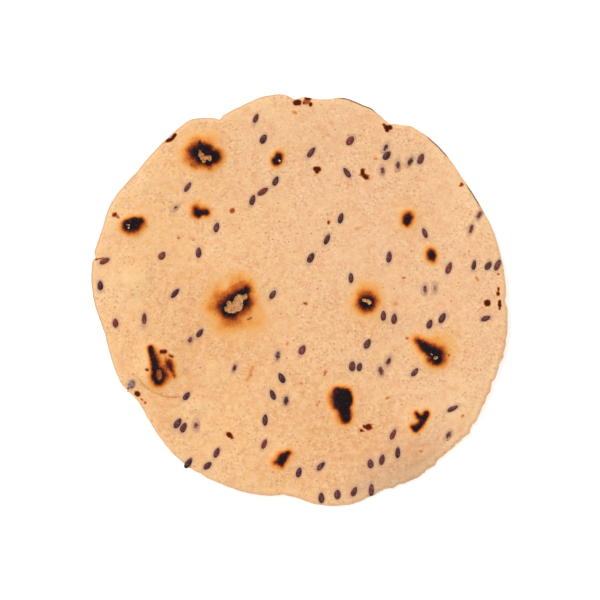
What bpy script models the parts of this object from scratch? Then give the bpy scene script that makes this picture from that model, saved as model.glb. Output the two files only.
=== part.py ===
"""Corn flaxseed tostada: one thin, crisp round of corn dough with flaxseeds baked into it.

Metres, +Z up. The origin lies under the middle of the plan, on the surface that the round lies on.
Sizes below are in millimetres, and angles in degrees counter-clockwise from +X, seen from above.
"""

import math

import bmesh
import bpy
import numpy as np
from mathutils import Euler, Matrix, Vector

MM = 0.001
NODE = "tostada"

# Plan of the round
MEAN_RADIUS = 74.1
# Angle, and how far the slow waves of the rim stand out from the mean radius there
RIM_WAVES = (
    (0, -0.2), (15, -0.5), (36, -1.2), (50, 0.5), (58, 0.0), (70, -0.5), (78, 0.1), (84, -1.5),
    (98, 0.4), (109, -1.3), (114, -1.9), (121, 1.9), (126, 1.7), (140, 0.7), (153, 2.3),
    (160, 1.5), (167, 1.8), (178, 0.4), (190, -3.2), (204, -3.5), (212, -5.9), (225, -3.9),
    (237, -2.4), (247, -2.7), (258, -2.8), (267, -3.9), (275, -0.6), (283, 1.2), (293, 0.3),
    (304, 2.0), (313, 1.7), (321, 2.6), (336, 1.1), (351, 1.0),
)
# Angle, depth and half width in degrees of each split in the rim
RIM_NICKS = (
    (0, 0.7, 1.8), (63.5, 2.8, 6.0), (91.5, 1.6, 2.6), (114, 1.2, 1.4), (168, 0.8, 1.2), (240, 0.5, 2.0),
    (265, 0.6, 1.5),
)
# Waves round the rim, and how far each moves it, for the fine unevenness of a hand-pressed edge
RIM_RIPPLES = ((19, 0.07), (31, 0.05))
RIM_TEETH = ((59, 0.03), (83, 0.03), (113, 0.025))
CRUMBLED_RIM = (288, 348)  # the stretch where the edge has crumbled, so that its teeth are longer
CRUMBLED_FADE = 8
CRUMBLED_GAIN = 4.5
RIM_BAND = 0.92  # share of the radius beyond which the fine unevenness of the edge shows
PLAN_STEP = 0.25  # degrees between the points that the plan's box is measured from

# Section of the round
MIDDLE_THICKNESS = 1.9
RIM_THICKNESS = 1.35
EDGE_THICKNESS = 0.75
THIN_BAND = 12.0  # how far in from the edge the dough starts to thin
ROUND_BAND = 1.6  # how far in from the edge the rounded brink starts
BRINK_BULGE = 0.18
LOWER_ROUNDING = 0.2  # how much higher the lower face is on the edge than where the brink starts
FLAT_SHARE = 0.50  # share of the radius within which the lower face is flat
LEVEL_SHARE = 1.12  # share of the radius at which the curled rim would be level again
RIM_LIFT = 2.4  # mean height that the rim would reach there
LIFT_WAVES = ((2, 1.28, 30), (3, 0.72, 100), (5, 0.32, 10))  # waves round the rim, height, direction
SWELL_HEIGHT = 0.22  # slow unevenness of the upper face
SWELL_LENGTHS = (46.0, 33.0, 24.0, 17.0)
LIP_SECTOR = (300, 345)  # where a loose upper layer ends short of the rim
LIP_FADE = 10
LIP_INSET = (2.9, 3.9)  # its step down starts and ends this far in from the edge
LIP_DROP = 0.28

# The crease beside the largest blister: middle of its arc, radius, ends, depth, width
CREASE = (-45.1, -19.1, 15.8, (213, 279), 0.35, 0.8)
CREASE_FADE = 6

# Puffed blisters of the upper face: x, y, length, width, lean, height
BLISTERS = (
    (-51.0, -22.8, 22.0, 21.0, 0, 2.1),
    (-34.5, 53.0, 20.5, 18.5, -25, 1.7),
    (47.0, -18.5, 17.0, 14.5, -40, 1.5),
    (43.0, -42.5, 18.0, 16.0, 50, 1.2),
    (-22.5, -0.5, 24.0, 18.0, 35, 1.5),
    (15.5, -37.0, 18.0, 13.0, -80, 1.4),
    (-60.0, 27.5, 15.0, 12.0, 18, 1.1),
    (24.0, 0.0, 12.0, 11.0, 0, 1.1),
    (-59.5, 7.0, 17.0, 15.0, 10, 1.3),
    (-8.3, 51.0, 10.0, 9.0, 60, 0.8),
    (-36.0, 32.0, 10.0, 8.0, 0, 0.7),
    (38.5, 29.5, 10.0, 9.0, 60, 0.8),
    (47.0, 16.2, 10.0, 9.0, 0, 0.7),
    (-6.0, -56.0, 13.0, 10.0, 45, 0.9),
    (-37.0, -38.0, 9.5, 7.5, 0, 0.8),
    (-30.9, -25.0, 6.0, 5.5, 0, 0.7),
    (-55.5, 42.0, 8.5, 7.5, 0, 0.7),
    (-29.8, 19.5, 7.0, 6.0, 0, 0.5),
)
BLISTER_WOBBLE = ((3, 0.06), (5, 0.04))  # waves round a blister's outline, and their size
BLISTER_FOOT = 1.6  # above 1, a blister rises softly from the dough round it

# Scorched tops of the blisters: x, y, length, width, lean, depth of the sunken, burst middle
SCORCHES = (
    (-34.2, 52.0, 11.5, 8.6, -25, 0.9),
    (-59.9, 27.5, 8.6, 5.4, 18, 0.3),
    (-35.9, 31.8, 5.7, 3.6, -5, 0.2),
    (-8.3, 51.0, 5.4, 4.3, 65, 0.3),
    (6.1, 47.2, 2.9, 2.5, 0, 0.1),
    (23.0, 45.4, 4.6, 1.8, -55, 0.1),
    (-22.6, -0.2, 12.6, 9.3, 40, 1.0),
    (23.9, 0.0, 6.5, 5.7, 0, 0.6),
    (38.4, 29.6, 4.3, 3.6, 65, 0.3),
    (47.2, 16.2, 4.0, 3.6, 0, 0.2),
    (46.1, -17.6, 11.7, 4.6, -40, 0.7),
    (15.4, -37.1, 12.6, 6.6, -80, 0.4),
    (43.1, -42.9, 8.5, 3.2, 52, 0.4),
    (-5.9, -56.2, 6.4, 3.4, 43, 0.4),
    (-52.4, -22.8, 14.0, 3.0, -78, 0.7),
    (-47.2, -22.4, 4.0, 3.2, 50, 0.1),
    (-25.1, -48.4, 2.5, 2.2, 0, 0.1),
    (24.2, -45.4, 2.9, 1.8, 25, 0.1),
    (67.1, -0.7, 2.5, 1.8, 0, 0.1),
)
# Scorched spots of the lower face, in the same terms: the round is baked on both sides
LOWER_SCORCHES = (
    (-30.0, 24.0, 9.0, 6.5, 30, 0.3),
    (18.0, 36.0, 7.0, 5.0, -50, 0.3),
    (40.0, -12.0, 10.0, 6.0, 70, 0.3),
    (-6.0, -20.0, 6.0, 5.0, 10, 0.3),
    (-44.0, -26.0, 8.0, 4.0, -30, 0.3),
    (12.0, -50.0, 5.0, 4.0, 60, 0.3),
)
# Where the walls of the sunken middles start and end, as shares of the scorch's half size
PIT_WALL = (0.35, 0.75)
LOWER_PIT_WALL = (0.6, 1.0)

# Flaxseeds: length, width and thickness of a seed, and how much of it stands clear of the dough
SEED_SIZE = (3.95, 2.1, 1.05)
SEED_PROUD = 0.42
SEED_CLEAR = 0.9  # least height of a seed's middle, so that the round stands on three seeds only
SEED_SPREAD = 0.1  # share by which seeds differ in size
SEED_SPREAD_LIMIT = 0.2
SEED_TAPER = 0.14
SEED_TILT = 4
SEED_LEAN_SPREAD = 13
SEED_SHIFT = 0.3
# Rows of seeds on the upper face: first seed, last seed, how many, and the way they lean
SEED_ROWS = (
    (-16.6, 66.0, -13.2, 57.8, 2, 57), (3.4, 53.3, 17.9, 57.5, 2, 60),
    (-8.8, 42.8, -17.7, 36.1, 3, 56), (16.7, 45.5, 29.4, 46.4, 2, 105),
    (30.2, 55.4, 30.8, 52.1, 2, 54), (35.3, 48.8, 43.1, 51.4, 3, 75),
    (-40.2, 40.7, -45.0, 33.3, 2, 52), (-30.3, 25.9, -36.7, 17.3, 2, 74),
    (14.4, 29.4, 3.9, 15.0, 3, 71), (45.0, 24.1, 18.6, 8.5, 3, 95),
    (63.7, 30.9, 61.0, 25.7, 2, 72), (53.6, 11.7, 62.8, 13.2, 2, 65),
    (67.1, 12.7, 70.7, 13.1, 2, 70), (44.3, 4.1, 48.4, 4.5, 2, 70),
    (-9.4, 2.4, -23.7, -24.5, 2, 60), (30.4, -5.3, 34.1, -7.0, 2, 100),
    (46.5, -8.3, 51.1, -6.1, 2, 62), (66.2, -6.0, 55.1, -39.1, 2, 30),
    (-49.4, 16.3, -70.2, 14.0, 2, 22), (-45.0, 2.9, -55.9, -6.2, 2, 54),
    (-72.0, 5.2, -66.0, -8.3, 2, 95), (-36.4, -11.4, -40.2, -14.0, 2, 50),
    (24.1, -15.9, 41.2, -25.5, 2, 47), (18.7, -23.5, 21.2, -23.6, 2, 80),
    (28.1, -25.4, 30.9, -21.6, 2, 100), (1.2, -17.5, -8.4, -19.0, 2, 65),
    (-6.2, -28.0, -10.0, -33.8, 2, 110), (-4.8, -36.0, -12.9, -43.7, 2, 72),
    (-41.1, -34.8, -59.9, -29.2, 2, 50), (-44.2, -44.3, -42.0, -46.1, 2, 60),
    (-37.0, -44.4, -32.9, -58.3, 2, 70), (-12.6, -51.9, -29.8, -54.2, 2, 67),
    (-0.4, -61.4, 7.6, -60.1, 2, 78), (7.6, -70.6, 25.3, -67.9, 4, 82),
    (24.8, -58.9, 35.4, -54.6, 3, 65), (33.0, -48.1, 53.1, -48.1, 2, 62),
    (-40.1, -57.7, -40.1, -57.7, 1, 55),
)
# The three seeds of the lower face that the round rests on, so that it doesn't rock: x, y, lean
REST_SEEDS = ((5.9, 33.5, 75), (-31.9, -11.6, 110), (26.0, -21.9, 60))
REST_GAP = 0.1  # how far they hold the flat of the lower face off the surface below
# All the seeds of the lower face: the others are spread at random but evenly
LOWER_SEEDS = 34
LOWER_REACH = 0.93  # share of the mean radius within which they lie
LOWER_LEANS = (35, 145)
LOWER_GAP = 9.5  # least distance between two of them
LOWER_CLEAR = 4.0  # least distance from the end of a scorch
RANDOM_START = 11

# The flat disc of radius 1 that the dough is shaped from, and fineness of the meshes
FLAT_WALL = 1.0
RIM_POINTS = 400
DOUGH_TRIANGLES = 5600
SEED_SIDES = 6
SEED_RINGS = 4
SHARP_ANGLE = 35

# Colours as red, green, blue, alpha, with roughness beside them
DOUGH_FINISH = ((0.87, 0.51, 0.26, 1.0), 0.7)
CHAR_FINISH = ((0.03, 0.018, 0.012, 1.0), 0.55)
SEED_FINISH = ((0.12, 0.03, 0.035, 1.0), 0.35)


def clear_scene():
    for thing in list(bpy.data.objects):
        bpy.data.objects.remove(thing, do_unlink=True)


def smooth_step(low, high, value):
    share = np.clip((value - low) / (high - low), 0.0, 1.0)
    return share * share * (3.0 - 2.0 * share)


def finish(name, values):
    colour, roughness = values
    material = bpy.data.materials.new(name)
    material.use_nodes = True
    material.diffuse_color = colour
    shader = material.node_tree.nodes["Principled BSDF"]
    shader.inputs["Base Color"].default_value = colour
    shader.inputs["Roughness"].default_value = roughness
    return material


def rim_wave(angle):
    """The slow waves of the rim: a smooth closed curve through RIM_WAVES, at angles in degrees."""
    knots = np.array(RIM_WAVES, float)
    around = np.concatenate([knots[-2:] - (360, 0), knots, knots[:2] + (360, 0)])
    place = np.clip(np.searchsorted(around[:, 0], angle, side="right") - 1, 1, len(around) - 3)
    before, start, end, after = (around[place + step] for step in (-1, 0, 1, 2))
    span = end[:, 0] - start[:, 0]
    share = (angle - start[:, 0]) / span
    slope_in = (end[:, 1] - before[:, 1]) / (end[:, 0] - before[:, 0]) * span
    slope_out = (after[:, 1] - start[:, 1]) / (after[:, 0] - start[:, 0]) * span
    return (
        (2 * share**3 - 3 * share**2 + 1) * start[:, 1]
        + (share**3 - 2 * share**2 + share) * slope_in
        + (3 * share**2 - 2 * share**3) * end[:, 1]
        + (share**3 - share**2) * slope_out
    )


def away_from(angle, middle):
    return np.abs((angle - middle + 180) % 360 - 180)


def sector(angle, ends, fade):
    """1 inside a stretch of the rim and 0 outside it, with a fade of some degrees at both ends."""
    half = (ends[1] - ends[0]) / 2
    return 1 - smooth_step(half - fade, half + fade, away_from(angle, (ends[0] + ends[1]) / 2))


def rim_detail(angle):
    """The splits and the fine unevenness of the edge, which reach only a little way in."""
    draw = np.random.default_rng(RANDOM_START)
    moved = np.zeros_like(angle)
    tooth_gain = 1 + (CRUMBLED_GAIN - 1) * sector(angle, CRUMBLED_RIM, CRUMBLED_FADE)
    for waves, gain in ((RIM_RIPPLES, 1), (RIM_TEETH, tooth_gain)):
        for count, height in waves:
            moved += gain * height * np.sin(count * np.radians(angle) + draw.uniform(0, 2 * math.pi))
    for middle, depth, half in RIM_NICKS:
        moved -= depth * np.clip(1 - away_from(angle, middle) / half, 0, 1)
    return moved


def plan_radius(angle):
    return MEAN_RADIUS + rim_wave(angle) + rim_detail(angle)


def plan_middle():
    """The middle of the box round the outline."""
    angle = np.arange(0.0, 360.0, PLAN_STEP)
    radius = plan_radius(angle)
    x = radius * np.cos(np.radians(angle))
    y = radius * np.sin(np.radians(angle))
    return (x.min() + x.max()) / 2, (y.min() + y.max()) / 2


def oval_reach(x, y, oval):
    """Distance from an oval's middle: 0 there and 1 on its outline."""
    middle_x, middle_y, length, width, lean = oval[:5]
    along = math.cos(math.radians(lean)) * (x - middle_x) + math.sin(math.radians(lean)) * (y - middle_y)
    across = math.cos(math.radians(lean)) * (y - middle_y) - math.sin(math.radians(lean)) * (x - middle_x)
    return np.hypot(along / (length / 2), across / (width / 2))


def rim_curl(angle, share):
    """How far the flat and the curled rim stand off the surface that the round lies on."""
    height = np.full_like(angle, RIM_LIFT)
    for count, wave, towards in LIFT_WAVES:
        height += wave * np.cos(np.radians(count * (angle - towards)))
    return REST_GAP + height * smooth_step(FLAT_SHARE, LEVEL_SHARE, share)


def swell(x, y):
    """Slow unevenness of the upper face."""
    draw = np.random.default_rng(RANDOM_START + 1)
    height = np.zeros_like(x)
    for length in SWELL_LENGTHS:
        heading = draw.uniform(0, 2 * math.pi)
        along = x * math.cos(heading) + y * math.sin(heading)
        height += np.sin(2 * math.pi * along / length + draw.uniform(0, 2 * math.pi))
    return SWELL_HEIGHT * height / len(SWELL_LENGTHS)


def crease_depth(x, y):
    middle_x, middle_y, radius, ends, depth, width = CREASE
    angle = np.degrees(np.arctan2(y - middle_y, x - middle_x)) % 360
    off = (np.hypot(x - middle_x, y - middle_y) - radius) / width
    return depth * np.exp(-2 * off**2) * sector(angle, ends, CREASE_FADE)


def blister_height(x, y):
    puff = np.zeros_like(x)
    draw = np.random.default_rng(RANDOM_START + 4)
    for blister in BLISTERS:
        around = np.arctan2(y - blister[1], x - blister[0])
        wobble = sum(size * np.sin(n * around + draw.uniform(0, 2 * math.pi)) for n, size in BLISTER_WOBBLE)
        reach = np.clip(oval_reach(x, y, blister) * (1 + wobble), 0, 1)
        puff = np.maximum(puff, blister[5] * (1 - reach**2) ** BLISTER_FOOT)
    return puff


def pit_depth(x, y):
    sunk = np.zeros_like(x)
    for scorch in SCORCHES:
        sunk = np.maximum(sunk, scorch[5] * (1 - smooth_step(*PIT_WALL, oval_reach(x, y, scorch))))
    return sunk


def edge_rounding(inset):
    """1 on the edge, and 0 from where the rounded brink starts."""
    return (1 - smooth_step(0, ROUND_BAND, inset)) ** 2


def upper_height(x, y, share):
    """Height of the upper face over the plan; share is 0 in the middle and 1 on the rim."""
    angle = np.degrees(np.arctan2(y, x)) % 360
    inset = (1 - share) * MEAN_RADIUS
    away_from_rim = smooth_step(0, THIN_BAND, inset)
    height = rim_curl(angle, share)
    height += RIM_THICKNESS + (MIDDLE_THICKNESS - RIM_THICKNESS) * away_from_rim
    height -= (RIM_THICKNESS - EDGE_THICKNESS) * edge_rounding(inset)
    height -= LIP_DROP * sector(angle, LIP_SECTOR, LIP_FADE) * (1 - smooth_step(*LIP_INSET, inset))
    height += swell(x, y) * away_from_rim
    return height + blister_height(x, y) - crease_depth(x, y) - pit_depth(x, y)


def lower_height(x, y, share):
    """Height of the lower face: flat in the middle, where the hot plate pressed it."""
    angle = np.degrees(np.arctan2(y, x)) % 360
    inset = (1 - share) * MEAN_RADIUS
    height = rim_curl(angle, share)
    height += LOWER_ROUNDING * edge_rounding(inset)
    for scorch in LOWER_SCORCHES:
        height += scorch[5] * (1 - smooth_step(*LOWER_PIT_WALL, oval_reach(x, y, scorch)))
    return height


def plan_points(flat):
    """Plan places in millimetres, and share of the radius, of points of a disc of radius 1."""
    share = np.clip(np.hypot(flat[:, 0], flat[:, 1]), 0, 1)
    angle = np.degrees(np.arctan2(flat[:, 1], flat[:, 0])) % 360
    radius = share * (MEAN_RADIUS + rim_wave(angle)) + rim_detail(angle) * smooth_step(RIM_BAND, 1.0, share)
    x = radius * np.cos(np.radians(angle))
    y = radius * np.sin(np.radians(angle))
    return x, y, share


def make_dough(collection):
    """The dough alone: a grid-filled disc given two faces and a brink, then shaped and thinned out."""
    bpy.ops.mesh.primitive_circle_add(vertices=RIM_POINTS, radius=1.0)
    dough = bpy.context.object
    dough.name = NODE
    bpy.ops.object.mode_set(mode="EDIT")
    bpy.ops.mesh.select_all(action="SELECT")
    bpy.ops.mesh.fill_grid(span=RIM_POINTS // 4)
    bpy.ops.object.mode_set(mode="OBJECT")
    for owner in list(dough.users_collection):
        owner.objects.unlink(dough)
    collection.objects.link(dough)
    wall = dough.modifiers.new("two faces", "SOLIDIFY")
    wall.thickness = FLAT_WALL
    wall.offset = -1.0
    apply_modifier(dough, wall)
    shell = bmesh.new()
    shell.from_mesh(dough.data)
    upright = [edge for edge in shell.edges if abs(edge.verts[0].co.z - edge.verts[1].co.z) > FLAT_WALL / 2]
    bmesh.ops.subdivide_edges(shell, edges=upright, cuts=1)
    bmesh.ops.recalc_face_normals(shell, faces=shell.faces)
    shell.to_mesh(dough.data)
    shell.free()
    shape_dough(dough.data)
    thinner = dough.modifiers.new("fewer triangles", "DECIMATE")
    thinner.ratio = DOUGH_TRIANGLES / sum(len(face.vertices) - 2 for face in dough.data.polygons)
    apply_modifier(dough, thinner)
    return dough


def shape_dough(mesh):
    flat = np.empty(len(mesh.vertices) * 3)
    mesh.vertices.foreach_get("co", flat)
    flat = flat.reshape(-1, 3)
    x, y, share = plan_points(flat)
    upper = upper_height(x, y, share)
    lower = lower_height(x, y, share)
    level = np.round((flat[:, 2] - flat[:, 2].min()) / np.ptp(flat[:, 2]), 3)
    middle_x, middle_y = plan_middle()
    on_brink = level == 0.5
    grown = 1 + on_brink * BRINK_BULGE / MEAN_RADIUS
    placed = np.column_stack((x * grown - middle_x, y * grown - middle_y, lower + (upper - lower) * level))
    mesh.vertices.foreach_set("co", (placed * MM).ravel())
    mesh.update()


def apply_modifier(thing, modifier):
    bpy.context.view_layer.objects.active = thing
    with bpy.context.temp_override(object=thing, active_object=thing):
        bpy.ops.object.modifier_apply(modifier=modifier.name)


def paint_dough(dough):
    """Gives the faces inside the scorches of either face the char finish."""
    dough.data.materials.append(finish("toasted corn dough", DOUGH_FINISH))
    dough.data.materials.append(finish("char", CHAR_FINISH))
    middle_x, middle_y = plan_middle()
    for face in dough.data.polygons:
        x = np.array([face.center.x / MM + middle_x])
        y = np.array([face.center.y / MM + middle_y])
        spots = SCORCHES if face.normal.z > 0 else LOWER_SCORCHES
        if min(oval_reach(x, y, spot)[0] for spot in spots) < 1:
            face.material_index = 1


def seed_places():
    """(x, y, lean) of each seed of the upper face, then of the lower face."""
    draw = np.random.default_rng(RANDOM_START + 2)
    upper = []
    for first_x, first_y, last_x, last_y, count, lean in SEED_ROWS:
        for share in np.linspace(0, 1, count):
            x = first_x + (last_x - first_x) * share + draw.normal(0, SEED_SHIFT)
            y = first_y + (last_y - first_y) * share + draw.normal(0, SEED_SHIFT)
            upper.append((x, y, lean + draw.normal(0, SEED_LEAN_SPREAD)))
    lower = list(REST_SEEDS)
    while len(lower) < LOWER_SEEDS:
        reach = MEAN_RADIUS * LOWER_REACH * math.sqrt(draw.uniform())
        heading = draw.uniform(0, 2 * math.pi)
        lean = draw.uniform(*LOWER_LEANS)
        x = reach * math.cos(heading)
        y = reach * math.sin(heading)
        from_seeds = min(math.hypot(x - seed[0], y - seed[1]) for seed in lower)
        from_scorches = min(math.hypot(x - spot[0], y - spot[1]) - spot[2] / 2 for spot in LOWER_SCORCHES)
        if from_seeds >= LOWER_GAP and from_scorches >= LOWER_CLEAR:
            lower.append((x, y, lean))
    return upper, lower


def make_seed(name, collection, draw):
    """One flaxseed lying along X: a flattened oval with one end more pointed."""
    mesh = bpy.data.meshes.new(name)
    shell = bmesh.new()
    bmesh.ops.create_uvsphere(shell, u_segments=SEED_SIDES, v_segments=SEED_RINGS, radius=1.0)
    bmesh.ops.rotate(shell, verts=shell.verts, cent=Vector(), matrix=Matrix.Rotation(math.pi / 2, 3, "Y"))
    spreads = np.clip(draw.normal(0, SEED_SPREAD, 3), -SEED_SPREAD_LIMIT, SEED_SPREAD_LIMIT)
    length, width, thickness = np.array(SEED_SIZE) * (1 + spreads) * MM
    for vertex in shell.verts:
        narrowed = 1 - SEED_TAPER * vertex.co.x
        vertex.co.x *= length / 2
        vertex.co.y *= width / 2 * narrowed
        vertex.co.z *= thickness / 2
    shell.to_mesh(mesh)
    shell.free()
    seed = bpy.data.objects.new(name, mesh)
    collection.objects.link(seed)
    return seed


def scatter_seeds(collection):
    """Lays the seeds in both faces, each sunk so that SEED_PROUD of it shows."""
    material = finish("flaxseed", SEED_FINISH)
    draw = np.random.default_rng(RANDOM_START + 3)
    middle_x, middle_y = plan_middle()
    sink = SEED_SIZE[2] / 2 - SEED_PROUD
    for side, places in zip((1, -1), seed_places()):
        for number, (x, y, lean) in enumerate(places):
            place_x, place_y = np.array([x]), np.array([y])
            angle = np.degrees(np.arctan2(place_y, place_x)) % 360
            share = np.hypot(place_x, place_y) / (MEAN_RADIUS + rim_wave(angle))
            seed = make_seed(f"seed {side} {number}", collection, draw)
            seed.data.materials.append(material)
            tilt = math.radians(draw.normal(0, SEED_TILT))
            if side > 0:
                height = upper_height(place_x, place_y, share)[0] - sink
            elif number < len(REST_SEEDS):
                height = max(vertex.co.z for vertex in seed.data.vertices) / MM
                tilt = 0
            else:
                height = max(lower_height(place_x, place_y, share)[0] + sink, SEED_CLEAR)
            seed.rotation_euler = Euler((0, tilt, math.radians(lean)))
            seed.location = Vector((x - middle_x, y - middle_y, height)) * MM


def fuse_seeds(dough, seeds):
    """Joins every seed to the dough, and keeps only the one joined body."""
    union = dough.modifiers.new("seeds in dough", "BOOLEAN")
    union.operation = "UNION"
    union.operand_type = "COLLECTION"
    union.collection = seeds
    union.solver = "EXACT"
    union.material_mode = "TRANSFER"
    apply_modifier(dough, union)
    for seed in list(seeds.objects):
        bpy.data.objects.remove(seed, do_unlink=True)
    bpy.data.collections.remove(seeds)
    drop_scraps(dough.data)


def drop_scraps(mesh):
    """Removes every loose shell but the largest, so that no scrap or sealed hollow is left."""
    body = bmesh.new()
    body.from_mesh(mesh)
    shells = []
    waiting = set(body.verts)
    while waiting:
        start = waiting.pop()
        shell = {start}
        reached = [start]
        while reached:
            for edge in reached.pop().link_edges:
                for vertex in edge.verts:
                    if vertex not in shell:
                        shell.add(vertex)
                        reached.append(vertex)
        waiting -= shell
        shells.append(shell)
    largest = max(shells, key=len)
    bmesh.ops.delete(body, geom=[v for v in body.verts if v not in largest], context="VERTS")
    body.to_mesh(mesh)
    body.free()


def main():
    clear_scene()
    parts = bpy.data.collections.new("corn flaxseed tostada")
    seeds = bpy.data.collections.new("seeds to fuse")
    bpy.context.scene.collection.children.link(parts)
    bpy.context.scene.collection.children.link(seeds)
    dough = make_dough(parts)
    paint_dough(dough)
    scatter_seeds(seeds)
    fuse_seeds(dough, seeds)
    dough.data.shade_smooth()
    dough.data.set_sharp_from_angle(angle=math.radians(SHARP_ANGLE))


main()
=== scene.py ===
import math

import bpy
import numpy as np
from mathutils import Euler, Matrix, Vector, noise


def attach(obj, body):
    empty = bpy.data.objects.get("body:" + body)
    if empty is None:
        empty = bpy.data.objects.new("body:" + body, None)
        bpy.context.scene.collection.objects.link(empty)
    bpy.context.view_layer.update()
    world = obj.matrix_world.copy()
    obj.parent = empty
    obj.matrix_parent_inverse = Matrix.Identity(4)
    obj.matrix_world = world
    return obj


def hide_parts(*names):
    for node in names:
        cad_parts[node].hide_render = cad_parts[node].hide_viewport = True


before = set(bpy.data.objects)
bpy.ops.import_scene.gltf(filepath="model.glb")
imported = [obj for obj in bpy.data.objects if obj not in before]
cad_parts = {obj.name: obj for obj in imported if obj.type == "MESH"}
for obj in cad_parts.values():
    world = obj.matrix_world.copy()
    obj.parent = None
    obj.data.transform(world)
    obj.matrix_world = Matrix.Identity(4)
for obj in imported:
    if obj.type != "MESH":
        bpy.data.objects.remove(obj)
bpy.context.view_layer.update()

mm = 0.001  # the lists below are in millimetres, with the plan seen from above

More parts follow.
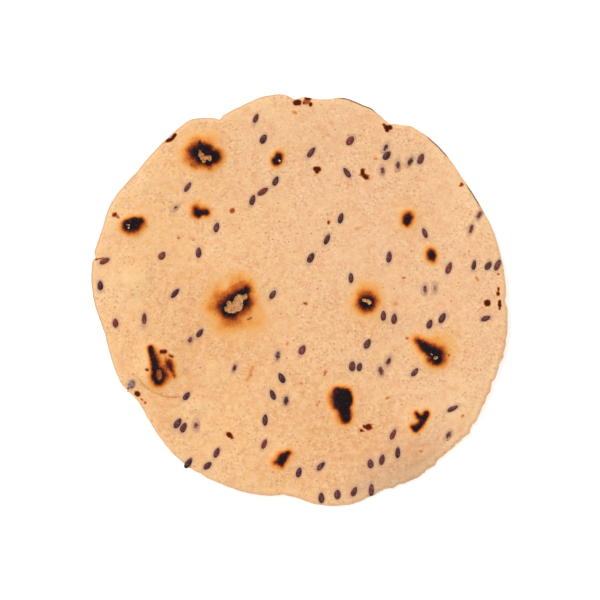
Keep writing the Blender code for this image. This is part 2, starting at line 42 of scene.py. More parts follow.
# The dough's form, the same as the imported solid's. Angles are in degrees, counter-clockwise from +X.
dough = {
    "meanRadius": 74.1,
    "rimWaves": (  # angle, and how far the rim stands out from the mean radius there
        (0, -0.2), (15, -0.5), (36, -1.2), (50, 0.5), (58, 0.0), (70, -0.5), (78, 0.1), (84, -1.5),
        (98, 0.4), (109, -1.3), (114, -1.9), (121, 1.9), (126, 1.7), (140, 0.7), (153, 2.3),
        (160, 1.5), (167, 1.8), (178, 0.4), (190, -3.2), (204, -3.5), (212, -5.9), (225, -3.9),
        (237, -2.4), (247, -2.7), (258, -2.8), (267, -3.9), (275, -0.6), (283, 1.2), (293, 0.3),
        (304, 2.0), (313, 1.7), (321, 2.6), (336, 1.1), (351, 1.0),
    ),
    "rimNicks": (
        (0, 0.7, 1.8), (63.5, 2.8, 6.0), (91.5, 1.6, 2.6), (114, 1.2, 1.4), (168, 0.8, 1.2), (240, 0.5, 2.0),
        (265, 0.6, 1.5),
    ),
    "rimRipples": ((19, 0.07), (31, 0.05)),
    "rimTeeth": ((59, 0.03), (83, 0.03), (113, 0.025)),
    "crumbledRim": (288, 348),
    "crumbledFade": 8,
    "crumbledGain": 4.5,
    "rimBand": 0.92,
    "planStep": 0.25,
    "crumbSize": 0.26,  # how far the crumbled edge is torn, and how far in
    "crumbBand": 1.3,
    "plainRim": 2.0,  # how far in from the rim the fine relief has its full height
    "middleThickness": 1.9,
    "rimThickness": 1.35,
    "edgeThickness": 0.75,
    "thinBand": 12.0,
    "roundBand": 1.6,
    "brinkBulge": 0.18,
    "lowerRounding": 0.2,
    "flatShare": 0.50,  # share of the radius that lies flat on the table
    "levelShare": 1.12,
    "restGap": 0.1,  # three seeds hold the flat this far off the table
    "rimLift": 2.4,
    "liftWaves": ((2, 1.28, 30), (3, 0.72, 100), (5, 0.32, 10)),
    "swellHeight": 0.22,
    "swellLengths": (46.0, 33.0, 24.0, 17.0),
    "lipSector": (300, 345),  # where a loose upper layer ends short of the rim
    "lipFade": 10,
    "lipInset": (2.9, 3.9),
    "lipDrop": 0.28,
    "crease": (-45.1, -19.1, 15.8, (213, 279), 0.35, 0.8),
    "creaseFade": 6,
    "blisterWobble": ((3, 0.06), (5, 0.04)),
    "blisterFoot": 1.6,
    "blisters": (  # x, y, length, width, lean, height
        (-51.0, -22.8, 22.0, 21.0, 0, 2.1),
        (-34.5, 53.0, 20.5, 18.5, -25, 1.7),
        (47.0, -18.5, 17.0, 14.5, -40, 1.5),
        (43.0, -42.5, 18.0, 16.0, 50, 1.2),
        (-22.5, -0.5, 24.0, 18.0, 35, 1.5),
        (15.5, -37.0, 18.0, 13.0, -80, 1.4),
        (-60.0, 27.5, 15.0, 12.0, 18, 1.1),
        (24.0, 0.0, 12.0, 11.0, 0, 1.1),
        (-59.5, 7.0, 17.0, 15.0, 10, 1.3),
        (-8.3, 51.0, 10.0, 9.0, 60, 0.8),
        (-36.0, 32.0, 10.0, 8.0, 0, 0.7),
        (38.5, 29.5, 10.0, 9.0, 60, 0.8),
        (47.0, 16.2, 10.0, 9.0, 0, 0.7),
        (-6.0, -56.0, 13.0, 10.0, 45, 0.9),
        (-37.0, -38.0, 9.5, 7.5, 0, 0.8),
        (-30.9, -25.0, 6.0, 5.5, 0, 0.7),
        (-55.5, 42.0, 8.5, 7.5, 0, 0.7),
        (-29.8, 19.5, 7.0, 6.0, 0, 0.5),
    ),
    "scorches": (  # x, y, length, width, lean, depth of the sunken middle
        (-34.2, 52.0, 11.5, 8.6, -25, 0.9),
        (-59.9, 27.5, 8.6, 5.4, 18, 0.3),
        (-35.9, 31.8, 5.7, 3.6, -5, 0.2),
        (-8.3, 51.0, 5.4, 4.3, 65, 0.3),
        (6.1, 47.2, 2.9, 2.5, 0, 0.1),
        (23.0, 45.4, 4.6, 1.8, -55, 0.1),
        (-22.6, -0.2, 12.6, 9.3, 40, 1.0),
        (23.9, 0.0, 6.5, 5.7, 0, 0.6),
        (38.4, 29.6, 4.3, 3.6, 65, 0.3),
        (47.2, 16.2, 4.0, 3.6, 0, 0.2),
        (46.1, -17.6, 11.7, 4.6, -40, 0.7),
        (15.4, -37.1, 12.6, 6.6, -80, 0.4),
        (43.1, -42.9, 8.5, 3.2, 52, 0.4),
        (-5.9, -56.2, 6.4, 3.4, 43, 0.4),
        (-52.4, -22.8, 14.0, 3.0, -78, 0.7),
        (-47.2, -22.4, 4.0, 3.2, 50, 0.1),
        (-25.1, -48.4, 2.5, 2.2, 0, 0.1),
        (24.2, -45.4, 2.9, 1.8, 25, 0.1),
        (67.1, -0.7, 2.5, 1.8, 0, 0.1),
    ),
    "lowerScorches": (
        (-30.0, 24.0, 9.0, 6.5, 30, 0.3),
        (18.0, 36.0, 7.0, 5.0, -50, 0.3),
        (40.0, -12.0, 10.0, 6.0, 70, 0.3),
        (-6.0, -20.0, 6.0, 5.0, 10, 0.3),
        (-44.0, -26.0, 8.0, 4.0, -30, 0.3),
        (12.0, -50.0, 5.0, 4.0, 60, 0.3),
    ),
    "pitWall": (0.35, 0.75),
    "lowerPitWall": (0.6, 1.0),
    "randomStart": 11,
    # What is added to the start for each thing that is drawn by chance
    "draws": {
        "rim": 0, "swell": 1, "seedPlaces": 2, "seedSizes": 3, "blisters": 4, "pimples": 5, "coats": 6,
        "specks": 7,
    },
    "noiseStart": 14,
    "gridSpan": 150,  # faces across the round, before the burnt places are divided again
    "blankThickness": 1.0,  # of the flat disc that the form starts from
    "refineBeyond": {"burn": 0.34, "spot": 0.1, "seedGap": 0.65},
    "markCuts": 2,
    "brinkCuts": 3,
}

# What the baking did to the upper face. A stroke is x, y, half width at one end, then at the other.
# halo is how far the toasting spreads round the char, and a skewed halo reaches further towards one side.
bake = {
    "marks": (
        {"halo": 5.0, "towards": 190, "skew": 0.2, "strokes": (
            (-36.7, 53.2, 2.3, -31.2, 51.7, 2.2), (-35.9, 54.1, 2.0, -33.6, 53.8, 2.1),
            (-35.4, 51.3, 1.9, -32.8, 50.6, 2.1),)},
        {"halo": 3.5, "towards": 265, "skew": 0.3, "strokes": (
            (-61.5, 27.1, 1.95, -59.3, 27.7, 2.3), (-59.3, 27.9, 2.1, -57.3, 28.6, 1.2),)},
        {"halo": 3.1, "towards": 150, "skew": 0.2, "strokes": (
            (-37.4, 33.0, 0.45, -36.9, 31.8, 1.0), (-36.8, 31.5, 1.1, -33.9, 31.7, 0.9),
            (-36.3, 31.0, 1.0, -36.4, 30.8, 0.9),)},
        {"halo": 3.0, "towards": 100, "skew": 0.1, "strokes": (
            (-7.8, 52.0, 1.05, -8.0, 50.6, 1.4), (-8.2, 50.6, 1.4, -8.5, 50.0, 1.2),
            (-9.2, 50.6, 0.8, -8.4, 50.3, 1.0),)},
        {"halo": 5.7, "towards": 180, "skew": 0.15, "strokes": (
            (-25.3, -2.6, 3.1, -21.4, 0.5, 3.05), (-21.2, 1.4, 2.6, -19.4, 3.9, 1.3),)},
        {"halo": 5.0, "towards": 270, "skew": 0.05, "strokes": (
            (22.8, -0.2, 1.5, 25.1, 0.1, 1.45), (23.5, -1.3, 1.4, 24.5, -1.1, 1.4),)},
        {"halo": 3.1, "towards": 130, "skew": 0.2, "strokes": (
            (38.4, 28.5, 1.25, 38.8, 29.9, 1.3), (39.1, 30.8, 0.5, 38.9, 30.2, 0.9),
            (38.4, 27.4, 0.5, 38.4, 28.2, 1.0),)},
        {"halo": 3.0, "towards": 90, "skew": 0.1, "strokes": (
            (47.0, 17.0, 1.2, 47.3, 16.1, 1.4), (47.8, 14.9, 0.5, 47.5, 15.7, 1.0),)},
        {"halo": 4.4, "towards": 50, "skew": 0.15, "strokes": (
            (42.4, -14.4, 0.5, 45.2, -16.9, 1.5), (45.2, -16.7, 1.4, 48.6, -19.4, 2.2),
            (48.6, -19.6, 2.1, 49.1, -20.9, 1.7), (46.7, -21.0, 0.5, 47.8, -20.7, 1.0),)},
        {"halo": 3.1, "towards": 180, "skew": 0.3, "strokes": (
            (13.5, -32.7, 1.5, 13.6, -37.3, 1.5), (15.3, -32.9, 1.6, 15.6, -37.3, 2.3),
            (16.7, -33.2, 1.6, 17.1, -36.5, 1.7), (15.7, -38.2, 2.4, 16.6, -42.2, 1.4),)},
        {"halo": 2.2, "towards": 180, "skew": 0.15, "strokes": (
            (45.5, -40.3, 0.85, 44.4, -42.2, 1.05), (44.4, -42.2, 1.05, 43.2, -44.4, 0.9),
            (43.2, -44.4, 0.9, 41.5, -46.0, 1.15), (41.6, -40.3, 0.5, 42.7, -41.6, 0.8),
            (42.7, -41.7, 0.65, 44.2, -41.9, 0.75), (40.4, -45.4, 0.55, 41.4, -45.9, 0.9),)},
        {"halo": 3.0, "towards": 200, "skew": 0.15, "strokes": (
            (-4.2, -54.7, 0.55, -6.0, -56.0, 1.35), (-6.0, -56.2, 1.45, -7.0, -57.6, 1.25),
            (-8.6, -58.0, 0.35, -7.2, -57.5, 0.95), (-6.6, -59.0, 0.35, -6.7, -58.4, 0.75),)},
        {"halo": 2.5, "towards": 0, "skew": 0.2, "strokes": (
            (-53.6, -16.9, 0.85, -52.8, -20.0, 0.95), (-52.8, -20.0, 0.95, -51.6, -23.8, 1.05),)},
        {"halo": 3.4, "towards": 280, "skew": 0.2, "strokes": (
            (-51.8, -23.8, 1.0, -52.3, -27.0, 0.8), (-52.3, -27.0, 0.8, -51.0, -29.2, 0.75),
            (-51.2, -24.1, 0.6, -49.5, -24.9, 0.4), (-49.4, -24.9, 0.4, -48.9, -27.6, 0.45),
            (-48.9, -27.6, 0.45, -50.3, -29.3, 0.6),)},
        {"halo": 1.6, "strokes": ((-36.0, 56.1, 0.55, -35.9, 57.0, 0.5),)},
        # Toasting without char, which comes on top: "burn" is how dark it gets on plain dough
        {"burn": 0.46, "halo": 4.2, "strokes": ((-49.4, -20.0, 1.6, -47.4, -25.6, 1.8),)},
        {"burn": 0.9, "halo": 2.8, "strokes": ((-47.1, -22.0, 1.0, -46.4, -23.6, 1.0),)},
        {"burn": 0.78, "halo": 2.3, "strokes": ((-46.2, -24.2, 0.8, -45.0, -26.8, 0.6),)},
        {"burn": 0.4, "halo": 7.4, "strokes": ((-28.0, -9.2, 1.0, -15.5, -8.2, 1.0),)},
        {"burn": 0.36, "halo": 6.4, "strokes": ((-32.6, -2.0, 0.8, -29.6, 4.6, 0.8),)},
        {"burn": 0.24, "halo": 7.0, "strokes": ((-15.5, -1.0, 0.5, -13.5, -6.0, 0.5),)},
        {"burn": 0.24, "halo": 7.5, "strokes": ((-39.0, 58.0, 0.5, -31.0, 58.5, 0.5),)},
        {"burn": 0.24, "halo": 7.0, "strokes": ((51.5, -14.0, 0.5, 53.5, -18.0, 0.5),)},
        {"burn": 0.3, "halo": 4.6, "strokes": ((13.5, -43.0, 0.3, 18.5, -43.5, 0.3),)},
        {"burn": 0.24, "halo": 6.0, "strokes": ((-41.4, 50.5, 0.8, -38.0, 56.5, 0.8),)},
        {"burn": 0.4, "halo": 3.9, "strokes": ((-27.6, 3.0, 0.5, -21.5, 6.6, 0.5),)},
        {"burn": 0.28, "halo": 4.6, "strokes": ((-25.5, 8.2, 0.5, -19.5, 9.0, 0.5),)},
        {"burn": 0.46, "halo": 3.8, "strokes": ((-21.0, -5.4, 0.3, -17.2, -1.2, 0.3),)},
        {"burn": 0.36, "halo": 3.2, "strokes": ((-30.2, -2.4, 0.2, -29.6, 0.0, 0.2),)},
        {"burn": 0.5, "halo": 2.6, "strokes": ((-39.0, 48.8, 0.3, -38.2, 48.2, 0.3),)},
        {"burn": 0.32, "halo": 3.4, "strokes": ((-31.6, 55.4, 0.2, -29.0, 53.6, 0.3),)},
        {"burn": 0.42, "halo": 3.4, "strokes": ((22.6, 2.8, 0.3, 24.8, 3.0, 0.3),)},
        {"burn": 0.26, "halo": 5.0, "strokes": ((22.5, 6.0, 0.4, 27.0, 5.0, 0.4),)},
        {"burn": 0.32, "halo": 6.5, "strokes": ((26.0, -0.8, 0.8, 23.6, -2.6, 0.8),)},
        {"burn": 0.2, "halo": 4.0, "strokes": ((47.2, -15.2, 0.2, 50.6, -18.2, 0.4),)},
        {"burn": 0.3, "halo": 3.0, "strokes": ((-61.4, 24.3, 0.2, -59.2, 24.4, 0.2),)},
        {"burn": 0.26, "halo": 4.6, "strokes": ((-37.6, 33.8, 0.6, -35.0, 34.0, 0.6),)},
        {"burn": 0.26, "halo": 4.0, "strokes": ((11.6, -33.0, 0.6, 11.8, -38.0, 0.6),)},
    ),
    "charInset": 0.28,  # how far inside the strokes' outline the char starts
    "toastFade": 1.5,
    "glow": 0.13,  # a faint last yellowing, and how many halos wide it is
    "glowReach": 1.9,
    "haloWander": 0.4,  # how uneven a halo's width is
    "leastHalo": 0.5,
    "leastRun": 0.1,  # even a round spot is a stroke this long
    "lowerHalo": 3.8,
    "lowerOvals": ((0.9, 0.7, 0), (0.55, 0.5, 50)),  # shares of a lower scorch's length and width, and turn
    "lowerOff": (3, 70),  # the second oval is off by this part of the width, this far round from the lean
    # Small scorched spots and soft brown smudges: x, y, length, width, lean, darkness, softness of the edge
    "spots": (
        (67.1, -0.8, 2.5, 2.3, 0, 0.95, 0.4), (71.0, 2.6, 1.3, 1.1, 90, 0.9, 0.35),
        (71.1, 4.2, 1.6, 0.8, 95, 0.75, 0.35), (71.4, -1.0, 2.4, 1.1, 92, 0.95, 0.35),
        (71.4, -2.6, 1.4, 0.7, 85, 0.75, 0.35), (71.1, 9.5, 0.9, 0.8, 0, 0.6, 0.3),
        (6.1, 47.4, 3.0, 1.6, -5, 0.95, 0.4), (6.1, 46.6, 1.7, 1.4, 90, 0.95, 0.4),
        (22.4, 46.2, 2.6, 1.5, 95, 0.92, 0.4), (23.5, 44.6, 2.4, 1.5, 143, 0.9, 0.4),
        (31.6, 62.2, 2.9, 1.8, 5, 1.0, 0.45), (31.2, 61.3, 1.7, 1.3, 90, 1.0, 0.45),
        (30.2, 63.0, 1.3, 0.9, 120, 0.8, 0.35), (-1.0, 71.1, 3.0, 2.3, 5, 0.95, 0.4),
        (2.5, 71.5, 2.6, 2.1, 20, 0.5, 0.5), (2.8, 72.5, 2.4, 1.0, 5, 0.85, 0.35),
        (3.8, 70.4, 1.5, 1.4, 90, 0.95, 0.35), (1.4, 71.0, 1.0, 0.7, 80, 0.85, 0.3),
        (-46.9, 58.0, 3.0, 1.3, 25, 1.0, 0.35), (-45.4, 59.1, 2.4, 1.3, 50, 1.0, 0.35),
        (-66.6, 31.0, 1.7, 1.4, 20, 0.75, 0.4), (-65.5, 30.2, 1.5, 0.9, -60, 0.5, 0.4),
        (-49.1, -18.2, 2.6, 1.4, -4, 0.88, 0.45),
        (-46.2, -19.9, 1.6, 0.9, -25, 0.72, 0.4),
        (-54.5, -24.7, 1.2, 1.0, 0, 0.8, 0.35),
        (-58.2, -33.3, 2.2, 1.7, -50, 0.88, 0.35), (-56.6, -35.4, 1.0, 0.6, -50, 0.6, 0.3),
        (-55.5, -36.5, 1.0, 0.6, -40, 0.6, 0.3), (-61.2, -31.0, 1.8, 0.6, 40, 0.7, 0.3),
        (24.5, -45.3, 2.7, 2.1, 30, 0.86, 0.35), (23.0, -45.2, 1.4, 1.0, 130, 0.8, 0.35),
        (22.0, -46.6, 1.1, 1.1, 0, 0.82, 0.3), (-25.5, -48.1, 2.1, 1.8, 140, 0.92, 0.4),
        (-24.6, -48.9, 1.4, 1.3, 140, 0.82, 0.4), (57.8, 41.7, 1.6, 0.9, 50, 0.72, 0.35),
        (10.2, 28.2, 1.5, 1.0, 90, 0.72, 0.35), (-24.4, 32.4, 2.2, 1.9, 0, 0.56, 0.5),
        (1.8, -0.9, 1.5, 0.8, 0, 0.65, 0.4), (-71.6, 15.2, 3.2, 0.4, 8, 0.8, 0.25),
        (-73.2, 14.8, 1.0, 0.7, 10, 0.8, 0.3), (-1.9, 67.5, 2.0, 1.2, -20, 0.3, 0.7),
        (11.2, 63.8, 2.6, 2.0, 0, 0.14, 1.2), (-30.0, 21.5, 3.0, 2.4, 0, 0.12, 1.2),
        (63.5, 7.9, 2.2, 1.0, -65, 0.3, 0.6), (-18.0, -26.2, 6.5, 1.5, 68, 0.22, 0.9),
        (-17.8, -26.7, 1.3, 0.9, 0, 0.34, 0.45), (20.5, 26.0, 2.2, 1.6, 20, 0.2, 0.9),
        (34.3, -1.1, 2.2, 1.5, 0, 0.22, 0.9), (6.5, -36.8, 2.2, 0.6, 60, 0.36, 0.4),
        (9.0, -26.0, 2.0, 0.6, 62, 0.55, 0.35), (-18.2, -6.4, 2.1, 0.8, 35, 0.55, 0.4),
        (43.4, -54.1, 1.6, 1.0, 10, 0.36, 0.5), (58.4, -41.2, 1.4, 0.9, 40, 0.4, 0.5),
        (31.1, -35.0, 1.4, 0.8, 30, 0.4, 0.4), (-43.6, 22.5, 1.0, 0.8, 0, 0.4, 0.4),
        (38.3, -13.4, 1.2, 0.9, 150, 0.52, 0.35), (53.3, -19.5, 1.2, 0.9, 0, 0.52, 0.35),
        (0.4, -29.7, 1.2, 0.9, 0, 0.34, 0.5), (37.2, 8.3, 1.3, 0.7, 0, 0.5, 0.35),
        (27.2, 50.9, 1.2, 0.8, 0, 0.36, 0.4), (-4.6, -15.4, 1.4, 0.8, 60, 0.3, 0.5),
    ),
    # Where the charred skin has burst: how deep the hole is, how brown the crumb in it, then its strokes
    "bursts": (
        (0.9, 0.62, ((-35.9, 53.6, 0.5, -35.6, 52.4, 0.8), (-35.6, 52.4, 0.8, -34.6, 50.4, 0.85),
                     (-34.2, 51.4, 0.7, -32.6, 51.4, 0.75), (-32.4, 50.6, 0.5, -32.3, 51.0, 0.5))),
        (1.0, 0.56, ((-25.9, -2.8, 1.3, -22.4, -2.0, 1.8), (-22.4, -1.0, 1.9, -21.9, 0.9, 1.5),
                     (-21.4, 0.9, 1.2, -19.7, 1.5, 0.8), (-25.7, -0.8, 0.8, -24.9, -1.8, 1.3),
                     (-25.2, -3.6, 0.9, -23.8, -3.3, 1.0), (-19.9, 1.5, 0.7, -19.3, 2.3, 0.45))),
        (0.6, 0.5, ((22.9, 0.3, 0.65, 23.6, -0.1, 0.5), (24.3, 0.1, 0.5, 24.8, -0.5, 0.85))),
        (0.7, 0.25, ((48.3, -20.6, 0.5, 48.9, -20.3, 0.55), (46.9, -19.0, 0.22, 47.4, -19.6, 0.22))),
        (0.7, 0.85, ((-50.5, -25.3, 0.8, -50.3, -27.3, 0.85),)),
        (0.2, 0.2, ((-62.1, 27.2, 0.26, -61.3, 27.2, 0.26), (-61.6, 26.1, 0.22, -61.4, 26.0, 0.22))),
        (0.2, 0.2, ((-7.5, 50.4, 0.28, -7.4, 50.1, 0.24),)),
    ),
    "burstEdge": 0.16,  # half width of the step down into a hole
    "burstBlend": 1.2,  # over what width the finish may fray its outline
    "pitShare": 0.35,  # how much of the solid's smooth pits is left beside the ragged holes
    "warp": 0.22,  # how far the outlines of char wander
    "fineWarp": 0.26,
    "fineWarpShare": 0.5,  # how much of the fine wander the char takes
    "charDepth": 1.0,  # how far inside its outline the char is at its blackest
    "charGain": 0.25,  # how far past 1 the burn goes there
    "charSpan": (0.9, 1.1),  # the burn at which dough turns to char
    "charCrust": 0.16,
    "crustLevel": 0.5,
    "lipRaise": 0.16,
    "lipReach": 0.35,
    "grit": 0.022,
    "lumps": 0.06,
    # How long the lumps of each unevenness are, and which slice of the noise it is cut from
    "noises": {
        "warp": (2.3, 0.0), "fineWarp": (0.75, 5.0), "charCrust": (0.9, 9.0), "grit": (1.1, 13.0),
        "lumps": (4.5, 17.0), "halo": (4.6, 21.0), "crumbs": (0.9, 25.0),
    },
    "pimples": 170,
    "pimpleReach": 0.97,
    "pimpleWidth": (1.2, 3.4),
    "pimpleHeight": (0.06, 0.2),
    "pimplePower": 1.5,
    "pimplePuff": 2,  # how much a small bubble pales the dough, beside a dome
    # Broad patches that are browner, or paler where less than 0: x, y, reach, amount
    "patches": (
        (-24.0, -8.0, 17.0, 0.9), (-33.0, 3.0, 6.0, 0.6), (36.0, -60.0, 14.0, 0.7), (21.0, -49.0, 12.0, 0.6),
        # painted shade: the patch at (42, -58) on the next line darkens the crumbled rim where it lies in
        # shade
        (53.0, -17.0, 8.0, 1.0), (25.0, -6.5, 7.0, 0.8), (34.5, -44.5, 7.0, 0.4), (42.0, -58.0, 8.0, 0.5),
        (-38.0, 59.0, 8.0, 0.5), (-57.0, -26.0, 8.0, 0.4), (22.0, -24.0, 26.0, 0.15), (39.0, 31.0, 8.0, 0.5),
        (48.0, -18.0, 9.0, 0.4), (12.0, -36.0, 10.0, 0.2), (-48.0, 5.0, 10.0, 0.45),
        (-41.0, -15.0, 12.0, 0.45), (-46.0, -36.0, 14.0, 0.65), (-37.0, 43.0, 12.0, 0.15),
        (-2.0, -42.0, 16.0, 0.45), (24.0, 0.0, 9.0, 0.3), (40.0, 29.0, 8.0, 0.25),
        (8.0, -55.0, 15.0, 0.5), (-30.0, -17.0, 12.0, 0.25), (47.0, 21.0, 9.0, 0.2),
        (66.0, 3.0, 10.0, 0.1), (-12.0, -68.0, 9.0, 0.4),
        (55.0, -36.0, 8.0, -0.5), (-61.0, 5.0, 8.0, -0.9), (-68.0, 30.0, 6.0, -0.7),
        (52.0, 50.0, 8.0, -0.5), (-31.0, -25.0, 4.6, -0.9), (-37.5, -39.0, 5.5, -1.1),
        (-30.0, -58.0, 9.0, -0.3), (-30.2, 19.9, 5.0, -0.8), (-57.0, 41.0, 6.5, -0.8),
        (-12.0, 67.5, 6.0, -0.7), (61.5, 32.0, 9.0, -0.9), (61.0, -27.0, 9.0, -0.6),
        (-69.0, 3.0, 5.0, -0.5), (-57.5, 34.0, 6.0, 0.35),
    ),
    "paleRim": 5.0,  # how far in the paler rim reaches
    "paleRimShare": 0.6,
    # Fine brown lines where the skin has wrinkled round a dome: middle, radius, angles, strength
    "wrinkles": (
        (-45.1, -19.1, 15.4, (214, 278), 1.0), (-34.2, 52.0, 7.6, (36, 82), 0.6),
        (-33.6, 53.6, 9.2, (28, 60), 0.3), (43.0, -42.5, 9.4, (262, 345), 0.3),
        (46.5, -19.0, 8.6, (255, 330), 0.3),
        (-34.0, 12.0, 21.0, (205, 228), 0.3),
    ),
    "wrinkleWidth": 0.32,
    "wrinkleFade": 6,
    # Burnt lower edge that shows past the upper face: angles from and to
    "darkRims": ((68.5, 79.0), (44.5, 52.0), (28.0, 34.5)),
    "darkRimFade": 1.2,
    "darkRimSpan": (0.1, 0.6),
    # Painted shade: the edge's thin grey-brown line: angles where it is strongest, their fade, how far in,
    # share elsewhere
    "paintedEdgeShade": ((95, 200), 20, 0.9, 0.3),
    "paintedDullShade": ((285, 313), 9, 20.0, 0.7),  # painted shade over the crumbled stretch: angles, their fade, how far in, how grey
    "pinkSpan": (-45, 25),  # the dough turns pinker over this stretch along X, and how much Y adds to it
    "pinkLean": 0.4,
}
mostly = 0.5  # from this share on, a face counts as up, a point as on top and an edge as torn
farAway = 1e3  # millimetres, further than anything on the round


def drawFor(name):
    return np.random.default_rng(dough["randomStart"] + dough["draws"][name])


def smoothStep(low, high, value):
    share = np.clip((value - low) / (high - low), 0.0, 1.0)
    return share * share * (3.0 - 2.0 * share)


def rimWave(angle):
    # a smooth closed curve through the rim's waves
    knots = np.array(dough["rimWaves"], float)
    around = np.concatenate([knots[-2:] - (360, 0), knots, knots[:2] + (360, 0)])
    place = np.clip(np.searchsorted(around[:, 0], angle, side="right") - 1, 1, len(around) - 3)
    before, start, end, after = (around[place + step] for step in (-1, 0, 1, 2))
    span = end[:, 0] - start[:, 0]
    share = (angle - start[:, 0]) / span
    slopeIn = (end[:, 1] - before[:, 1]) / (end[:, 0] - before[:, 0]) * span
    slopeOut = (after[:, 1] - start[:, 1]) / (after[:, 0] - start[:, 0]) * span
    return (
        (2 * share**3 - 3 * share**2 + 1) * start[:, 1]
        + (share**3 - 2 * share**2 + share) * slopeIn
        + (3 * share**2 - 2 * share**3) * end[:, 1]
        + (share**3 - share**2) * slopeOut
    )


def angleOf(x, y):
    return np.degrees(np.arctan2(y, x)) % 360


def insetOf(share):
    # distance in from the rim
    return (1 - share) * dough["meanRadius"]


def shareOf(x, y):
    # share of the radius, from 0 in the middle to 1 at the rim
    return np.hypot(x, y) / (dough["meanRadius"] + rimWave(angleOf(x, y)))


def strewn(draw, reach):
    # a random place on the round, no further out than this share of its radius
    far = dough["meanRadius"] * reach * math.sqrt(draw.uniform())
    heading = draw.uniform(0, 2 * math.pi)
    return far * math.cos(heading), far * math.sin(heading)


def awayFrom(angle, middle):
    return np.abs((angle - middle + 180) % 360 - 180)


def sector(angle, ends, fade):
    # 1 inside a stretch of the rim and 0 outside it
    half = (ends[1] - ends[0]) / 2
    return 1 - smoothStep(half - fade, half + fade, awayFrom(angle, (ends[0] + ends[1]) / 2))


def crumbled(angle):
    return sector(angle, dough["crumbledRim"], dough["crumbledFade"])


def darkened(angle):
    return sum(sector(angle, ends, bake["darkRimFade"]) for ends in bake["darkRims"])


def rimDetail(angle):
    # splits and fine unevenness of the edge
    draw = drawFor("rim")
    moved = np.zeros_like(angle)
    toothGain = 1 + (dough["crumbledGain"] - 1) * crumbled(angle)
    for waves, gain in ((dough["rimRipples"], 1), (dough["rimTeeth"], toothGain)):
        for count, height in waves:
            moved += gain * height * np.sin(count * np.radians(angle) + draw.uniform(0, 2 * math.pi))
    for middle, depth, half in dough["rimNicks"]:
        moved -= depth * np.clip(1 - awayFrom(angle, middle) / half, 0, 1)
    return moved


def planMiddle():
    # middle of the box round the outline, which the part's origin lies under
    angle = np.arange(0.0, 360.0, dough["planStep"])
    radius = dough["meanRadius"] + rimWave(angle) + rimDetail(angle)
    x = radius * np.cos(np.radians(angle))
    y = radius * np.sin(np.radians(angle))
    return np.array([(x.min() + x.max()) / 2, (y.min() + y.max()) / 2])


def ovalReach(x, y, oval):
    # 0 in an oval's middle and 1 on its outline
    lean = math.radians(oval[4])
    along = math.cos(lean) * (x - oval[0]) + math.sin(lean) * (y - oval[1])
    across = math.cos(lean) * (y - oval[1]) - math.sin(lean) * (x - oval[0])
    return np.hypot(along / (oval[2] / 2), across / (oval[3] / 2))


def rimCurl(angle, share):
    height = np.full_like(angle, dough["rimLift"])
    for count, wave, towards in dough["liftWaves"]:
        height += wave * np.cos(np.radians(count * (angle - towards)))
    return dough["restGap"] + height * smoothStep(dough["flatShare"], dough["levelShare"], share)


def swell(x, y):
    # slow unevenness of the upper face
    draw = drawFor("swell")
    height = np.zeros_like(x)
    for length in dough["swellLengths"]:
        heading = draw.uniform(0, 2 * math.pi)
        along = x * math.cos(heading) + y * math.sin(heading)
        height += np.sin(2 * math.pi * along / length + draw.uniform(0, 2 * math.pi))
    return dough["swellHeight"] * height / len(dough["swellLengths"])


def creaseDepth(x, y):
    middleX, middleY, radius, ends, depth, width = dough["crease"]
    angle = angleOf(x - middleX, y - middleY)
    off = (np.hypot(x - middleX, y - middleY) - radius) / width
    return depth * np.exp(-2 * off**2) * sector(angle, ends, dough["creaseFade"])


def blisterHeight(x, y):
    puff = np.zeros_like(x)
    draw = drawFor("blisters")
    for blister in dough["blisters"]:
        around = np.arctan2(y - blister[1], x - blister[0])
        wobble = 0
        for waves, size in dough["blisterWobble"]:
            wobble = wobble + size * np.sin(waves * around + draw.uniform(0, 2 * math.pi))
        reach = np.clip(ovalReach(x, y, blister) * (1 + wobble), 0, 1)
        puff = np.maximum(puff, blister[5] * (1 - reach**2) ** dough["blisterFoot"])
    return puff


def pitDepth(x, y):
    sunk = np.zeros_like(x)
    for scorch in dough["scorches"]:
        sunk = np.maximum(sunk, scorch[5] * (1 - smoothStep(*dough["pitWall"], ovalReach(x, y, scorch))))
    return sunk


def edgeRounding(inset):
    return (1 - smoothStep(0, dough["roundBand"], inset)) ** 2


def upperHeight(x, y, share):
    # the upper face without its pits
    angle = angleOf(x, y)
    inset = insetOf(share)
    awayFromRim = smoothStep(0, dough["thinBand"], inset)
    rim, edge = dough["rimThickness"], dough["edgeThickness"]
    height = rimCurl(angle, share) + rim + (dough["middleThickness"] - rim) * awayFromRim
    height -= (rim - edge) * edgeRounding(inset)
    lipEdge = 1 - smoothStep(*dough["lipInset"], inset)
    height -= dough["lipDrop"] * sector(angle, dough["lipSector"], dough["lipFade"]) * lipEdge
    return height + swell(x, y) * awayFromRim + blisterHeight(x, y) - creaseDepth(x, y)


def lowerHeight(x, y, share):
    angle = angleOf(x, y)
    inset = insetOf(share)
    height = rimCurl(angle, share)
    height += dough["lowerRounding"] * edgeRounding(inset)
    for scorch in dough["lowerScorches"]:
        height += scorch[5] * (1 - smoothStep(*dough["lowerPitWall"], ovalReach(x, y, scorch)))
    return height


def planPoints(flat):
    # places in the plan, and share of the radius, of points of a disc of radius 1
    share = np.clip(np.hypot(flat[:, 0], flat[:, 1]), 0, 1)
    angle = angleOf(flat[:, 0], flat[:, 1])
    detail = rimDetail(angle) * smoothStep(dough["rimBand"], 1.0, share)
    radius = share * (dough["meanRadius"] + rimWave(angle)) + detail
    return radius * np.cos(np.radians(angle)), radius * np.sin(np.radians(angle)), share


def wander(x, y, name):
    # smooth noise between -1 and 1 at each place, in three directions
    length, layer = bake["noises"][name]
    found = [noise.noise_vector(Vector((px / length, py / length, layer))) for px, py in zip(x, y)]
    return np.array(found).reshape(-1, 3)


